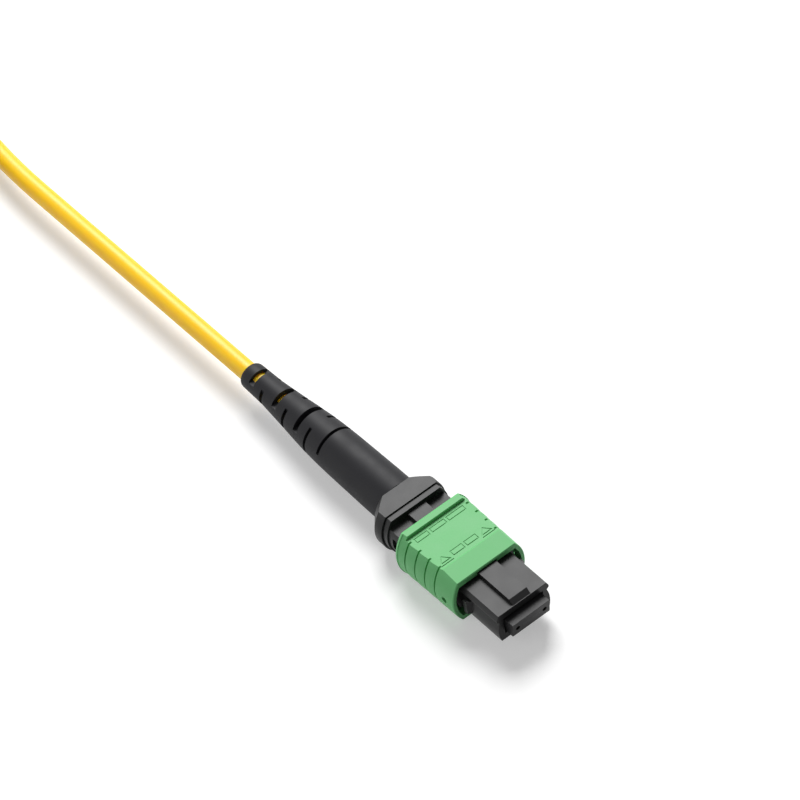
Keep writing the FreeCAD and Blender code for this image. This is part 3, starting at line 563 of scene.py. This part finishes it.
set_down("ferrule_block", ferrule, "ferrule_group", FERRULE, ["ferrule"], 0.05)

fibre_ends = []
for number in range(FIBRES):
    offset = FIBRE_PITCH * (number - (FIBRES - 1) / 2)
    fibre_ends.append(rod(FIBRE_RADIUS, (1.3, offset, 0), (1.512, offset, 0), 12))
fibre_row = worked(gathered(fibre_ends))
set_down("fibre_ends", fibre_row, "ferrule_group", GLASS, [], 0)

# %% [markdown]
# The green sleeve slides back to release the connector. Fingers grip its ribbed round sides,
# and its top and bottom panels slope down to a step at the rear band for the finger and thumb.
# It starts as a turned blank with small chamfers at both ends. A turned cutter makes each groove
# together with the slope behind it, which leaves a saw-tooth rib. One outline that cuts straight
# across the blank makes a whole panel, with a small ridge, the step and the flat on the band.

# %% The sleeve's blank and cutters
SLEEVE_FRONT = 7.19
SLEEVE_STEP = 17.86
SLEEVE_REAR = 19.06
FRONT_RADIUS = 6.23
RADIUS_GAIN = 0.17
BAND_RADIUS = 6.5
BAND_HALF_HEIGHT = 4.2
PANEL_HALF_HEIGHT = 3.76
CHAMFER = 0.12
REAR_SLOPE = 0.3
GROOVES = [11.05 + 2.03 * number for number in range(4)]
GROOVE_HALF_WIDTH = 0.15
GROOVE_RADIUS = 5.98
OUTSIDE_RADIUS = 7.5


def blank_radius(place):
    """The blank gets a little thicker towards the rear."""
    return FRONT_RADIUS + RADIUS_GAIN * (place - SLEEVE_FRONT) / (SLEEVE_STEP - SLEEVE_FRONT)


blank_profile = [
    (SLEEVE_FRONT, 0),
    (SLEEVE_FRONT, blank_radius(SLEEVE_FRONT) - CHAMFER),
    (SLEEVE_FRONT + CHAMFER, blank_radius(SLEEVE_FRONT)),
    (17.5, blank_radius(17.5)),
    (17.95, BAND_RADIUS),
    (SLEEVE_REAR - REAR_SLOPE, BAND_RADIUS),
    (SLEEVE_REAR, BAND_RADIUS - CHAMFER),
    (SLEEVE_REAR, 0),
]


def groove_cutter(groove):
    """Cuts a groove and the slope behind it that leaves a saw-tooth rib."""
    slope_end = groove + 1.5
    profile = [
        (groove - GROOVE_HALF_WIDTH, OUTSIDE_RADIUS),
        (groove - GROOVE_HALF_WIDTH, GROOVE_RADIUS),
        (groove + GROOVE_HALF_WIDTH, GROOVE_RADIUS),
        (groove + 0.17, blank_radius(groove) - 0.06),
        (slope_end, blank_radius(slope_end) + 0.01),
        (slope_end, OUTSIDE_RADIUS),
        (groove - GROOVE_HALF_WIDTH, OUTSIDE_RADIUS),
    ]
    return turned(profile, FINE_STEPS)


# From the front edge over the outside to the rear edge, and back along the panel itself.
panel_cut = [
    (-6.5, PANEL_HALF_HEIGHT - CHAMFER),
    (-6.5, 8),
    (-19.5, 8),
    (-19.5, BAND_HALF_HEIGHT - CHAMFER),
    (-SLEEVE_REAR, BAND_HALF_HEIGHT - CHAMFER),
    (REAR_SLOPE - SLEEVE_REAR, BAND_HALF_HEIGHT),
    (-SLEEVE_STEP - 0.08, BAND_HALF_HEIGHT),
    (-SLEEVE_STEP, 4.12),
    (-SLEEVE_STEP, 3.7),
    (-12.2, 3.79),
    (-10.58, 3.875),
    (-10.34, 3.96),
    (-SLEEVE_FRONT - CHAMFER, 3.77),
    (-SLEEVE_FRONT, PANEL_HALF_HEIGHT - CHAMFER),
]
print("panel outline:", len(panel_cut), "points")
print("grooves at", [round(place, 2) for place in GROOVES])

# %% [markdown]
# Both panels carry shallow engraved marks: an arrowhead at each side that points the way to
# pull, with a bar under it, and plain outlined bars between and behind them. An outlined mark is
# a face that is inset to a thin frame, and the frame is given a depth and cut from the panel.

# %% Engraved marks
STROKE = 0.15
ARROW_OFFSET = 3.55
FRONT_BARS = ((-2.2, -0.15), (0.15, 2.2))
REAR_BARS = ((-4.3, -2.0), (-1.7, 0.9), (1.2, 4.2))


def engraved_frame(outline, low, high):
    """A thin closed frame that follows an outline."""
    shape = bmesh.new()
    face = shape.faces.new([shape.verts.new((along, across, low)) for along, across in outline])
    face.normal_update()
    bmesh.ops.inset_individual(shape, faces=[face], thickness=STROKE, use_even_offset=True)
    bmesh.ops.delete(shape, geom=[face], context="FACES_ONLY")
    thicken(shape, (0, 0, high - low))
    return shape


def front_marks(low, high):
    """The arrowheads, the bars under them and the bars between them."""
    marks = []
    for side in (-1, 1):
        middle = side * ARROW_OFFSET
        arrow = [(-11.25, middle - 0.95), (-11.25, middle + 0.95), (-12.45, middle)]
        marks.append(engraved_frame(arrow, low, high))
        under = rectangle(-10.98, -10.84, middle - 1.05, middle + 1.05)
        marks.append(prism(under, UPWARD, low, high))
    for left, right in FRONT_BARS:
        marks.append(engraved_frame(rectangle(-12.3, -11.3, left, right), low, high))
    return marks


def rear_marks(low, high):
    """The bars in front of the step."""
    return [
        engraved_frame(rectangle(-17.3, -16.4, left, right), low, high)
        for left, right in REAR_BARS
    ]


print("marks on each panel:", len(front_marks(0, 1)) + len(rear_marks(0, 1)))

# %% [markdown]
# The sleeve is cut from its turned blank like a machined one: first the two panels, the grooves
# and the bore that lets it slide over the housing. The lugs that the springs push on are added
# too long, so that the mouth and the channels trim them and no two faces lie on each other. Last
# come the small holes and the marks.

# %% Cut the sleeve
SLEEVE_OPEN_REAR = 19.5
LUG_FRONT = 8.7
LUG_EXCESS = 0.2
HOLE_PLACE = 9.12
HOLE_HEIGHT = -0.1
MARKS_OUTSIDE = 4.6
FRONT_MARKS_FLOOR = 3.72
REAR_MARKS_FLOOR = 3.635

panels = gathered([prism(outline, ACROSS, -7, 7) for outline in with_mirror(panel_cut)])
mouth = behind(flatted(5.65, 2.9), 6.5, LUG_FRONT)
grooves = gathered([groove_cutter(groove) for groove in GROOVES])
bore = behind(flatted(5.3, 2.85), 8.3, SLEEVE_OPEN_REAR)
key_slot = behind(rectangle(-1.71, 1.71, 0, 3.38), 6.5, 9.0)
channel_sides = both_sides(CHANNEL_FLOOR, 5.65, CHANNEL_HALF_HEIGHT)
sleeve_channels = gathered([behind(side, LUG_REAR, SLEEVE_OPEN_REAR) for side in channel_sides])
lug_sides = both_sides(4.31, 5.5, 0.61)
lug_ends = (LUG_FRONT - LUG_EXCESS, LUG_REAR + LUG_EXCESS)
lugs = gathered([behind(side, *lug_ends) for side in lug_sides])
side_holes = gathered(
    [
        rod(0.48, (-HOLE_PLACE, side * 4.6, HOLE_HEIGHT), (-HOLE_PLACE, side * 7, HOLE_HEIGHT))
        for side in (-1, 1)
    ]
)
top_marks = front_marks(FRONT_MARKS_FLOOR, MARKS_OUTSIDE)
top_marks += rear_marks(REAR_MARKS_FLOOR, MARKS_OUTSIDE)
bottom_marks = front_marks(-MARKS_OUTSIDE, -FRONT_MARKS_FLOOR)
bottom_marks += rear_marks(-MARKS_OUTSIDE, -REAR_MARKS_FLOOR)
sleeve = worked(
    turned(blank_profile, FINE_STEPS),
    (CUT, panels),
    (CUT, grooves),
    (CUT, bore),
    (JOIN, lugs),
    (CUT, mouth),
    (CUT, key_slot),
    (CUT, sleeve_channels),
    (CUT, side_holes),
    (CUT, gathered(top_marks)),
    (CUT, gathered(bottom_marks)),
)
set_down(
    "sleeve_grip",
    sleeve,
    "sleeve",
    SLEEVE,
    ["pull_sleeve"],
    0,
    math.radians(6),
)

# %% [markdown]
# The rear body closes the housing: a square tube that pushes the ferrule's spring, two snap
# hooks, a flange that fills the joint and a barrel on which the cord is crimped. Only the
# flange's rim and the hooks' tips show.

# %% Rear body
BARREL_RADIUS = 2.05
BARREL_REAR = 29.98

hook = [(-19.5, 2.3), (-19.5, 3.72), (-20.35, 4.75), (-21.2, 4.75), (-21.2, 2.3)]
flange = behind(flatted(5.35, 3.23), FLANGE_FRONT, 22.98)
barrel = [(22.9, 0), (22.9, BARREL_RADIUS), (BARREL_REAR, BARREL_RADIUS), (BARREL_REAR, 0)]
hooks = gathered([prism(outline, UPWARD, -0.9, 0.9) for outline in with_mirror(hook)])
rear = worked(
    behind(upright(3.65, 1.55), PUSH_FRONT, 22.2),
    (JOIN, flange),
    (JOIN, turned(barrel)),
    (JOIN, hooks),
    (CUT, behind(upright(2.3, 0.7), 14.6, FLANGE_FRONT)),
    (CUT, rod(1.55, (-21.7, 0, 0), (-30.4, 0, 0), 32)),
)
set_down("rear_flange", rear, "connector", HOUSING, ["rear_body"], 0.07)

# %% [markdown]
# Three steel springs do the work. A round one in each side channel pushes the sleeve forward
# again after a pull, and an oval one presses the ferrule against its mate. A spring is a small
# circle spun round an axis that moves a little along it at each step; the end turns lie close,
# as on a real compression spring. The oval one is a round one with its two halves moved apart.

# %% Springs
TURN_STEPS = 24
SIDE_SPRING_REACH = 4.92
OVAL_REACH = 1.75


def wound(wire, radius, front, back, turns, start_angle=0.0):
    """A round-wire spring about the axis, whose first and last turn lie close to the next."""
    shape = bmesh.new()
    first, last, close = front + wire * 1.2, back - wire * 1.2, wire * 2.2
    open_turns = turns - 2
    open_pitch = (last - first - 2 * close) / open_turns
    place = Matrix.Rotation(start_angle, 4, "X") @ Matrix.Translation((-first, radius, 0))
    bmesh.ops.create_circle(shape, segments=12, radius=wire, matrix=place)
    section = [*shape.verts, *shape.edges]
    for pitch, count in ((close, 1), (open_pitch, open_turns), (close, 1)):
        spun = bmesh.ops.spin(
            shape,
            geom=section,
            cent=(0, 0, 0),
            axis=(1, 0, 0),
            dvec=(-pitch / TURN_STEPS, 0, 0),
            angle=math.tau * count,
            steps=TURN_STEPS * count,
        )
        section = [item for item in spun["geom_last"] if not isinstance(item, bmesh.types.BMFace)]
    bmesh.ops.holes_fill(shape, edges=[edge for edge in shape.edges if edge.is_boundary])
    bmesh.ops.recalc_face_normals(shape, faces=shape.faces)
    return shape


def set_spring(node, shape):
    """Sets a spring in place at both ends of the cord, each coil with a mesh of its own."""
    mesh = worked(shape)
    set_down(node + "_coil", mesh, "connector", SPRING, [node], 0)
    for prefix in PREFIXES:
        coil = bpy.data.objects[prefix + node + "_coil"]
        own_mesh(coil)


for node, side in (("coupling_spring_left", 1), ("coupling_spring_right", -1)):
    side_coil = wound(wire=0.11, radius=0.54, front=LUG_REAR, back=CHANNEL_REAR, turns=6)
    bmesh.ops.translate(side_coil, verts=side_coil.verts, vec=(0, side * SIDE_SPRING_REACH, 0))
    set_spring(node, side_coil)

half_step = math.pi / TURN_STEPS
oval_coil = wound(
    wire=0.25, radius=1.2, front=KEEPER_REAR, back=PUSH_FRONT, turns=5, start_angle=half_step
)
for vert in oval_coil.verts:
    vert.co.y += math.copysign(OVAL_REACH, vert.co.y)
set_spring("ferrule_spring", oval_coil)

# %% [markdown]
# The back shell is a collar over the crimp. It is turned, with a short crest and a cone behind
# it, and then cut flat above and below, which leaves the trapezium seen from above.

# %% Back shell
SHELL_FRONT = 23.08
SHELL_REAR = 26.3
SHELL_CREST_RADIUS = 5.64

shell_profile = [
    (SHELL_FRONT, CRIMP_ROOM_RADIUS),
    (SHELL_FRONT, 5.58),
    (23.2, SHELL_CREST_RADIUS),
    (24.5, SHELL_CREST_RADIUS),
    (SHELL_REAR, 4.15),
    (SHELL_REAR, CRIMP_ROOM_RADIUS),
    (SHELL_FRONT, CRIMP_ROOM_RADIUS),
]
upper_flat, lower_flat = with_mirror(rectangle(-27, -22.5, 3.45, 7))
shell = worked(
    turned(shell_profile, FINE_STEPS),
    (CUT, prism(upper_flat, ACROSS, -7, 7)),
    (CUT, prism(lower_flat, ACROSS, -7, 7)),
)
set_down("shell_collar", shell, "connector", HOUSING, ["back_shell"], 0.08)

# %% [markdown]
# The boot keeps the cord from bending sharply. It is one soft moulding that tapers towards its tail,
# and slots cut in turn from above and below and from both sides let it bend little by little. The
# rearmost slots go down to the cord. In the front ones a thin liner hides it. The liner is painted
# shade: a dark rubber sheet that stands for the shade deep inside those slots.

# %% Boot
BOOT_FRONT = 26.36
BOOT_REAR = 58.7
CORD_BORE_RADIUS = 1.5

boot_profile = [
    (BOOT_FRONT, CRIMP_ROOM_RADIUS),
    (BOOT_FRONT, 3.5),
    (27.0, 3.53),
    (30.0, 3.51),
    (34.0, 3.44),
    (38.0, 3.37),
    (40.0, 3.31),
    (41.5, 3.24),
    (43.5, 3.12),
    (45.0, 2.98),
    (46.5, 2.84),
    (48.0, 2.68),
    (50.0, 2.48),
    (52.0, 2.29),
    (53.5, 2.16),
    (55.0, 2.09),
    (57.0, 2.03),
    (58.1, 2.0),
    (58.45, 1.95),
    (58.64, 1.85),
    (BOOT_REAR, 1.7),
    (BOOT_REAR, CORD_BORE_RADIUS),
    (33.08, CORD_BORE_RADIUS),
    (31.08, CRIMP_ROOM_RADIUS),
    (BOOT_FRONT, CRIMP_ROOM_RADIUS),
]
# Painted shade: a thin dark rubber sheet round the cord, standing for the shade deep inside the front
# slots.
slot_shade_liner_profile = [(33.2, 1.48), (33.2, 1.62), (48.1, 1.62), (48.1, 1.48), (33.2, 1.48)]

# Each slot's place and width.
TOP_SLOTS = [(56.3, 1.05), (50.84, 0.98), (45.38, 0.92), (39.92, 0.52)]
SIDE_SLOTS = [(53.9, 0.6), (48.44, 0.6), (42.98, 0.5)]
SLOT_REACH = 5


def slots(places, floor, direction):
    """Boxes that cut the boot from two opposite sides, down to a distance from the axis."""
    boxes = []
    for place, width in places:
        for side in (-1, 1):
            reach = sorted((side * floor, side * SLOT_REACH))
            box = rectangle(-place - width / 2, -place + width / 2, *reach)
            boxes.append(prism(box, direction, -SLOT_REACH, SLOT_REACH))
    return gathered(boxes)


relief = worked(
    turned(boot_profile),
    (CUT, slots(TOP_SLOTS, 1.12, ACROSS)),
    (CUT, slots(SIDE_SLOTS, 1.4, UPWARD)),
    # The sheet of painted shade inside the front slots.
    (JOIN, turned(slot_shade_liner_profile)),
)
set_down("bend_relief", relief, "connector", RUBBER, ["boot"], 0.06)

# %% [markdown]
# The cord leaves the boot straight, comes down to the table and is put away in a hank: two
# strands wide and three high, with the far connector lying on top. A curve of order 3 touches
# the middle of each run between its points, so points on a polygon round each fold give a round
# fold. A strand changes its cell in the hank once a lap, each a little earlier than the one
# below it, so that none cuts through its neighbour.

# %% The cord's route
CORD_RADIUS = 1.45
STRAND_PITCH = 2.95
FOLD_RADIUS = 9.15
NEAR_FOLD_X = -114.15
FAR_FOLD_X = -166.15
HANK_Y = -8.05
BOTTOM_STRAND = 2.05
FOLD_POINTS = 6
FOLD_LENGTH = math.pi * FOLD_RADIUS
RUN_LENGTH = NEAR_FOLD_X - FAR_FOLD_X

ROUTE_IN = [
    (-30.185, 0.0, 4.2),
    (-71.0, 0.0, 3.8),
    (-88.685, 0.0, 3.6),
    (-105.685, 3.05, 2.45),
]
ROUTE_OUT = [
    (-161.15, -17.2, 11.2),
    (-155.15, -17.2, 13.65),
    (-149.65, -17.2, 13.95),
]

# Each strand's cell in the hank: how many cords out from the inner one, and how many up.
STRANDS = [(1, 0), (0, 0), (0, 1), (1, 1), (1, 2), (0, 2), (0, 3)]
LAPS = len(STRANDS) - 1
SHIFT_LENGTH = 24.0
SHIFT_LAG = 7.0
LAST_SHIFT = RUN_LENGTH + FOLD_LENGTH - SHIFT_LENGTH

# How far from the far fold the points of a return run lie.
RETURN_POINTS = (22, 30, 38, 46)


def cell(place):
    """The fold radius and the height of a strand in one cell of the hank."""
    out, up = place
    return Vector((FOLD_RADIUS + out * STRAND_PITCH, BOTTOM_STRAND + up * STRAND_PITCH))


def strand(lap, travelled, start):
    """A strand's fold radius and height, where it has travelled so far in its lap."""
    share = min(1, max(0, (travelled - start) / SHIFT_LENGTH))
    eased = share * share * (3 - 2 * share)
    return cell(STRANDS[lap]).lerp(cell(STRANDS[lap + 1]), eased)


def fold(centre_x, lap, travelled, start, way):
    """Points of a half turn round a fold's centre; way is -1 at the far fold, 1 at the near."""
    points = []
    step = math.pi / FOLD_POINTS
    for number in range(-1, FOLD_POINTS + 1):
        angle = step * min(FOLD_POINTS, max(0, number + 0.5))
        radius, height = strand(lap, travelled + angle / math.pi * FOLD_LENGTH, start)
        if number in (-1, FOLD_POINTS):
            side = math.copysign(radius, math.cos(angle))
            flat = Vector((-way * radius * math.tan(step / 2), -way * side, 0))
        else:
            reach = radius / math.cos(step / 2)
            flat = Vector((way * math.sin(angle) * reach, -way * math.cos(angle) * reach, 0))
        points.append(Vector((centre_x, HANK_Y, height)) + flat)
    return points


def return_run(lap, start):
    """Points of the run back to the near fold, where most strands change cells."""
    points = []
    for travelled in RETURN_POINTS:
        radius, height = strand(lap, travelled, start)
        points.append(Vector((FAR_FOLD_X + travelled, HANK_Y - radius, height)))
    return points


def cord_points():
    """The whole route, from the near boot to the far one, in metres."""
    points = [Vector(place) for place in ROUTE_IN]
    for lap in range(LAPS):
        rises = lap == LAPS - 1
        start = -FOLD_LENGTH if rises else LAST_SHIFT - SHIFT_LAG * lap
        points += fold(FAR_FOLD_X, lap, -FOLD_LENGTH, start, -1)
        if not rises:
            points += return_run(lap, start)
            points += fold(NEAR_FOLD_X, lap, RUN_LENGTH, start, 1)
    return [point * MM for point in points + [Vector(place) for place in ROUTE_OUT]]


ROUTE = cord_points()
print("cord points:", len(ROUTE))

# %% [markdown]
# The cord is one NURBS curve with a round bevel along that route. It stands for three solids of
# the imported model: the run that shows, the hank, and the tail that rises to the far boot.

# %% The cord


def nurbs_line(name, points, radius):
    """A round solid line of order 3 that starts and ends at its first and last point."""
    curve = bpy.data.curves.new(name, "CURVE")
    curve.dimensions = "3D"
    curve.bevel_depth = radius
    curve.bevel_resolution = 8
    curve.resolution_u = 6
    curve.use_fill_caps = True
    spline = curve.splines.new("NURBS")
    spline.points.add(len(points) - 1)
    for control, place in zip(spline.points, points):
        control.co = (*place, 1)
    spline.order_u = 3
    spline.use_endpoint_u = True
    return new_object(name, curve)


cord = nurbs_line("cord", ROUTE, CORD_RADIUS * MM)
dress(cord, SHEATH)
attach(cord, "connector")
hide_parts("cord_run", "cord_hank", "cord_tail")
print("cord ends at", tuple(round(value, 4) for value in ROUTE[-1]))

# %% [markdown]
# A hook-and-loop strap holds the hank. It is a band bent round the bundle: a rounded outline
# with a smaller one cut out of it. Its loose end is a tongue that lies flat on the far side.

# %% Strap round the hank
STRAP_THICKNESS = 0.6
OUTER_CORNER = 2.0
INNER_CORNER = 1.4

tie_low, tie_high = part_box("hank_tie")


def rounded(left, right, low, high, radius, steps=6):
    """A rectangle with round corners."""
    return [
        *arc((right - radius, low), (right, low + radius), radius, steps),
        *arc((right, high - radius), (right - radius, high), radius, steps),
        *arc((left + radius, high), (left, high - radius), radius, steps),
        *arc((left, low + radius), (left + radius, low), radius, steps),
    ]


def loose_end(low, high):
    """The strap's free end: a tongue with a round tip, pressed down on the strap's far side."""
    middle, half_width = (low.x + high.x) / 2, (high.x - low.x) / 2 - 0.4
    left, right = middle - half_width, middle + half_width
    bottom, shoulder = low.z + 2.4, high.z - 3.2
    tip = arc((right, shoulder), (left, shoulder), half_width + 0.5)
    tongue = [(left, bottom), (right, bottom), *tip, (left, shoulder)]
    return prism(tongue, ACROSS, high.y - 0.2, high.y + 0.55)


def strap():
    """The band and its loose end, in millimetres."""
    low, high = tie_low / MM, tie_high / MM
    wall = STRAP_THICKNESS
    outside = rounded(low.y, high.y, low.z, high.z, OUTER_CORNER)
    inside = rounded(low.y + wall, high.y - wall, low.z + wall, high.z - wall, INNER_CORNER)
    return worked(
        prism(outside, ALONG, low.x, high.x),
        (CUT, prism(inside, ALONG, low.x - 1, high.x + 1)),
        (JOIN, loose_end(low, high)),
    )


band = strap()
band.transform(Matrix.Scale(MM, 4))
tie = new_object("hank_strap", band)
dress(tie, STRAP)
round_edges(tie, 0.15)
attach(tie, "connector")
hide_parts("hank_tie")
print("strap:", len(band.vertices), "points")

# %% [markdown]
# The camera looks down at the nose from the front left, from far away with a long lens, so that
# parallel edges stay nearly parallel. Its place is worked out from its direction and from where
# the nose lies before the lens.

# %% Camera
AZIMUTH = math.radians(58.176)
ELEVATION = math.radians(48.537)
ROLL = math.radians(-9.856)
LENS = 252.83
SENSOR = 36.0
CLIP_END = 20

# The nose's place from the camera: to the right, upwards, and backwards (so it lies in front).
AIM = Vector((16.364, -27.971, -741.019)) * MM


def camera_axes():
    """The camera's right, up and backward directions."""
    forward = Vector(
        (
            -math.sin(AZIMUTH) * math.cos(ELEVATION),
            math.cos(AZIMUTH) * math.cos(ELEVATION),
            -math.sin(ELEVATION),
        )
    )
    right = Vector((math.cos(AZIMUTH), math.sin(AZIMUTH), 0))
    up = right.cross(forward)
    turned_right = right * math.cos(ROLL) + up * math.sin(ROLL)
    turned_up = up * math.cos(ROLL) - right * math.sin(ROLL)
    return turned_right, turned_up, -forward


right, up, back = camera_axes()
camera_data = bpy.data.cameras.new("camera")
camera_data.lens = LENS
camera_data.sensor_width = SENSOR
camera_data.clip_end = CLIP_END
camera = new_object("camera", camera_data)
spot = DATUMS[""] - (right * AIM.x + up * AIM.y + back * AIM.z)
turn = Matrix((right, up, back)).transposed()
camera.matrix_world = Matrix.Translation(spot) @ turn.to_4x4()
bpy.context.scene.camera = camera
print("camera at", tuple(round(value, 4) for value in spot))

# %% [markdown]
# The table is pale and plain. It glows a little, but only for rays that show it, straight to the
# camera or in a gloss. So it looks bright there, and the glow lights no matt surface.

# %% Table
TABLE_HALF_SIZE = 3.0
TABLE_GREY = 0.7
TABLE_ROUGHNESS = 0.8
TABLE_GLOSS = 0.1
TABLE_GLOW = 0.38


def shown_rays(tree, path):
    """1 for a ray that shows the surface: straight to the camera, in a gloss or through glass."""
    shown = path.outputs["Is Camera Ray"]
    for kind in ("Is Glossy Ray", "Is Transmission Ray"):
        either = tree.nodes.new("ShaderNodeMath")
        either.operation = "MAXIMUM"
        tree.links.new(shown, either.inputs[0])
        tree.links.new(path.outputs[kind], either.inputs[1])
        shown = either.outputs["Value"]
    return shown


def pale_finish():
    """A matt grey that has a glow added for the rays that show it."""
    material, shader = new_material("pale_table", [TABLE_GREY] * 3, TABLE_ROUGHNESS)
    shader.inputs["Specular IOR Level"].default_value = TABLE_GLOSS
    links = material.node_tree.links
    path = add_node(material, "ShaderNodeLightPath")
    glow = add_node(material, "ShaderNodeEmission")
    glow.inputs["Strength"].default_value = TABLE_GLOW
    both = add_node(material, "ShaderNodeAddShader")
    pick = add_node(material, "ShaderNodeMixShader")
    output = material.node_tree.nodes["Material Output"]
    links.new(shader.outputs["BSDF"], both.inputs[0])
    links.new(glow.outputs["Emission"], both.inputs[1])
    links.new(shown_rays(material.node_tree, path), pick.inputs["Fac"])
    links.new(shader.outputs["BSDF"], pick.inputs[1])
    links.new(both.outputs["Shader"], pick.inputs[2])
    links.new(pick.outputs["Shader"], output.inputs["Surface"])
    return material


plane = bmesh.new()
bmesh.ops.create_grid(plane, x_segments=1, y_segments=1, size=TABLE_HALF_SIZE)
table_top = new_object("table_top", as_mesh(plane, "table_top"))
dress(table_top, pale_finish())
print("table:", 2 * TABLE_HALF_SIZE, "m wide")

# %% [markdown]
# The light is a soft panel behind and above the connector, which puts a sheen on what faces up,
# with a weaker and wider one at its side. The world adds a little light from all round. It looks
# white, but like the table's glow only to rays that show it.

# %% Light
WORLD_LIGHT = 0.12
WORLD_SHOWN = 1.0


def soft_panel(name, direction, distance, size, power):
    """A square area light that faces the connector from a direction."""
    light = bpy.data.lights.new(name, "AREA")
    light.shape = "SQUARE"
    light.size = size
    light.energy = power
    item = new_object(name, light)
    item.location = DATUMS[""] + Vector(direction).normalized() * distance
    item.rotation_euler = Vector(direction).to_track_quat("Z", "Y").to_euler()


def light_world(lighting, shown):
    """A world that lights the table at one strength and is seen or reflected at another."""
    world = bpy.data.worlds.new("studio")
    world.use_nodes = True
    nodes = world.node_tree.nodes
    links = world.node_tree.links
    background = nodes["Background"]
    background.inputs["Color"].default_value = (1, 1, 1, 1)
    path = nodes.new("ShaderNodeLightPath")
    level = nodes.new("ShaderNodeMapRange")
    level.inputs["To Min"].default_value = lighting
    level.inputs["To Max"].default_value = shown
    links.new(shown_rays(world.node_tree, path), level.inputs["Value"])
    links.new(level.outputs["Result"], background.inputs["Strength"])
    bpy.context.scene.world = world


soft_panel("sky_panel", (-0.6, 0.4, 0.72), distance=0.9, size=0.5, power=10.6)
soft_panel("side_panel", (-0.35, -1.0, 0.4), distance=1.2, size=0.8, power=3.6)
light_world(WORLD_LIGHT, WORLD_SHOWN)
bpy.context.scene.view_settings.view_transform = "Standard"

# %% [markdown]
# The pieces that belong to the cord's far end are gathered in one list: the finer shapes and the
# packed solids that no finer shape stands for.

SET_DOWN = (
    "housing",
    "sleeve_grip",
    "ferrule_block",
    "fibre_ends",
    "rear_flange",
    "shell_collar",
    "bend_relief",
    "coupling_spring_left_coil",
    "coupling_spring_right_coil",
    "ferrule_spring_coil",
)
far_pieces = [bpy.data.objects["far_" + name] for name in SET_DOWN]
far_pieces += [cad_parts["far_" + name] for name in FINISHES if name not in finer_nodes]
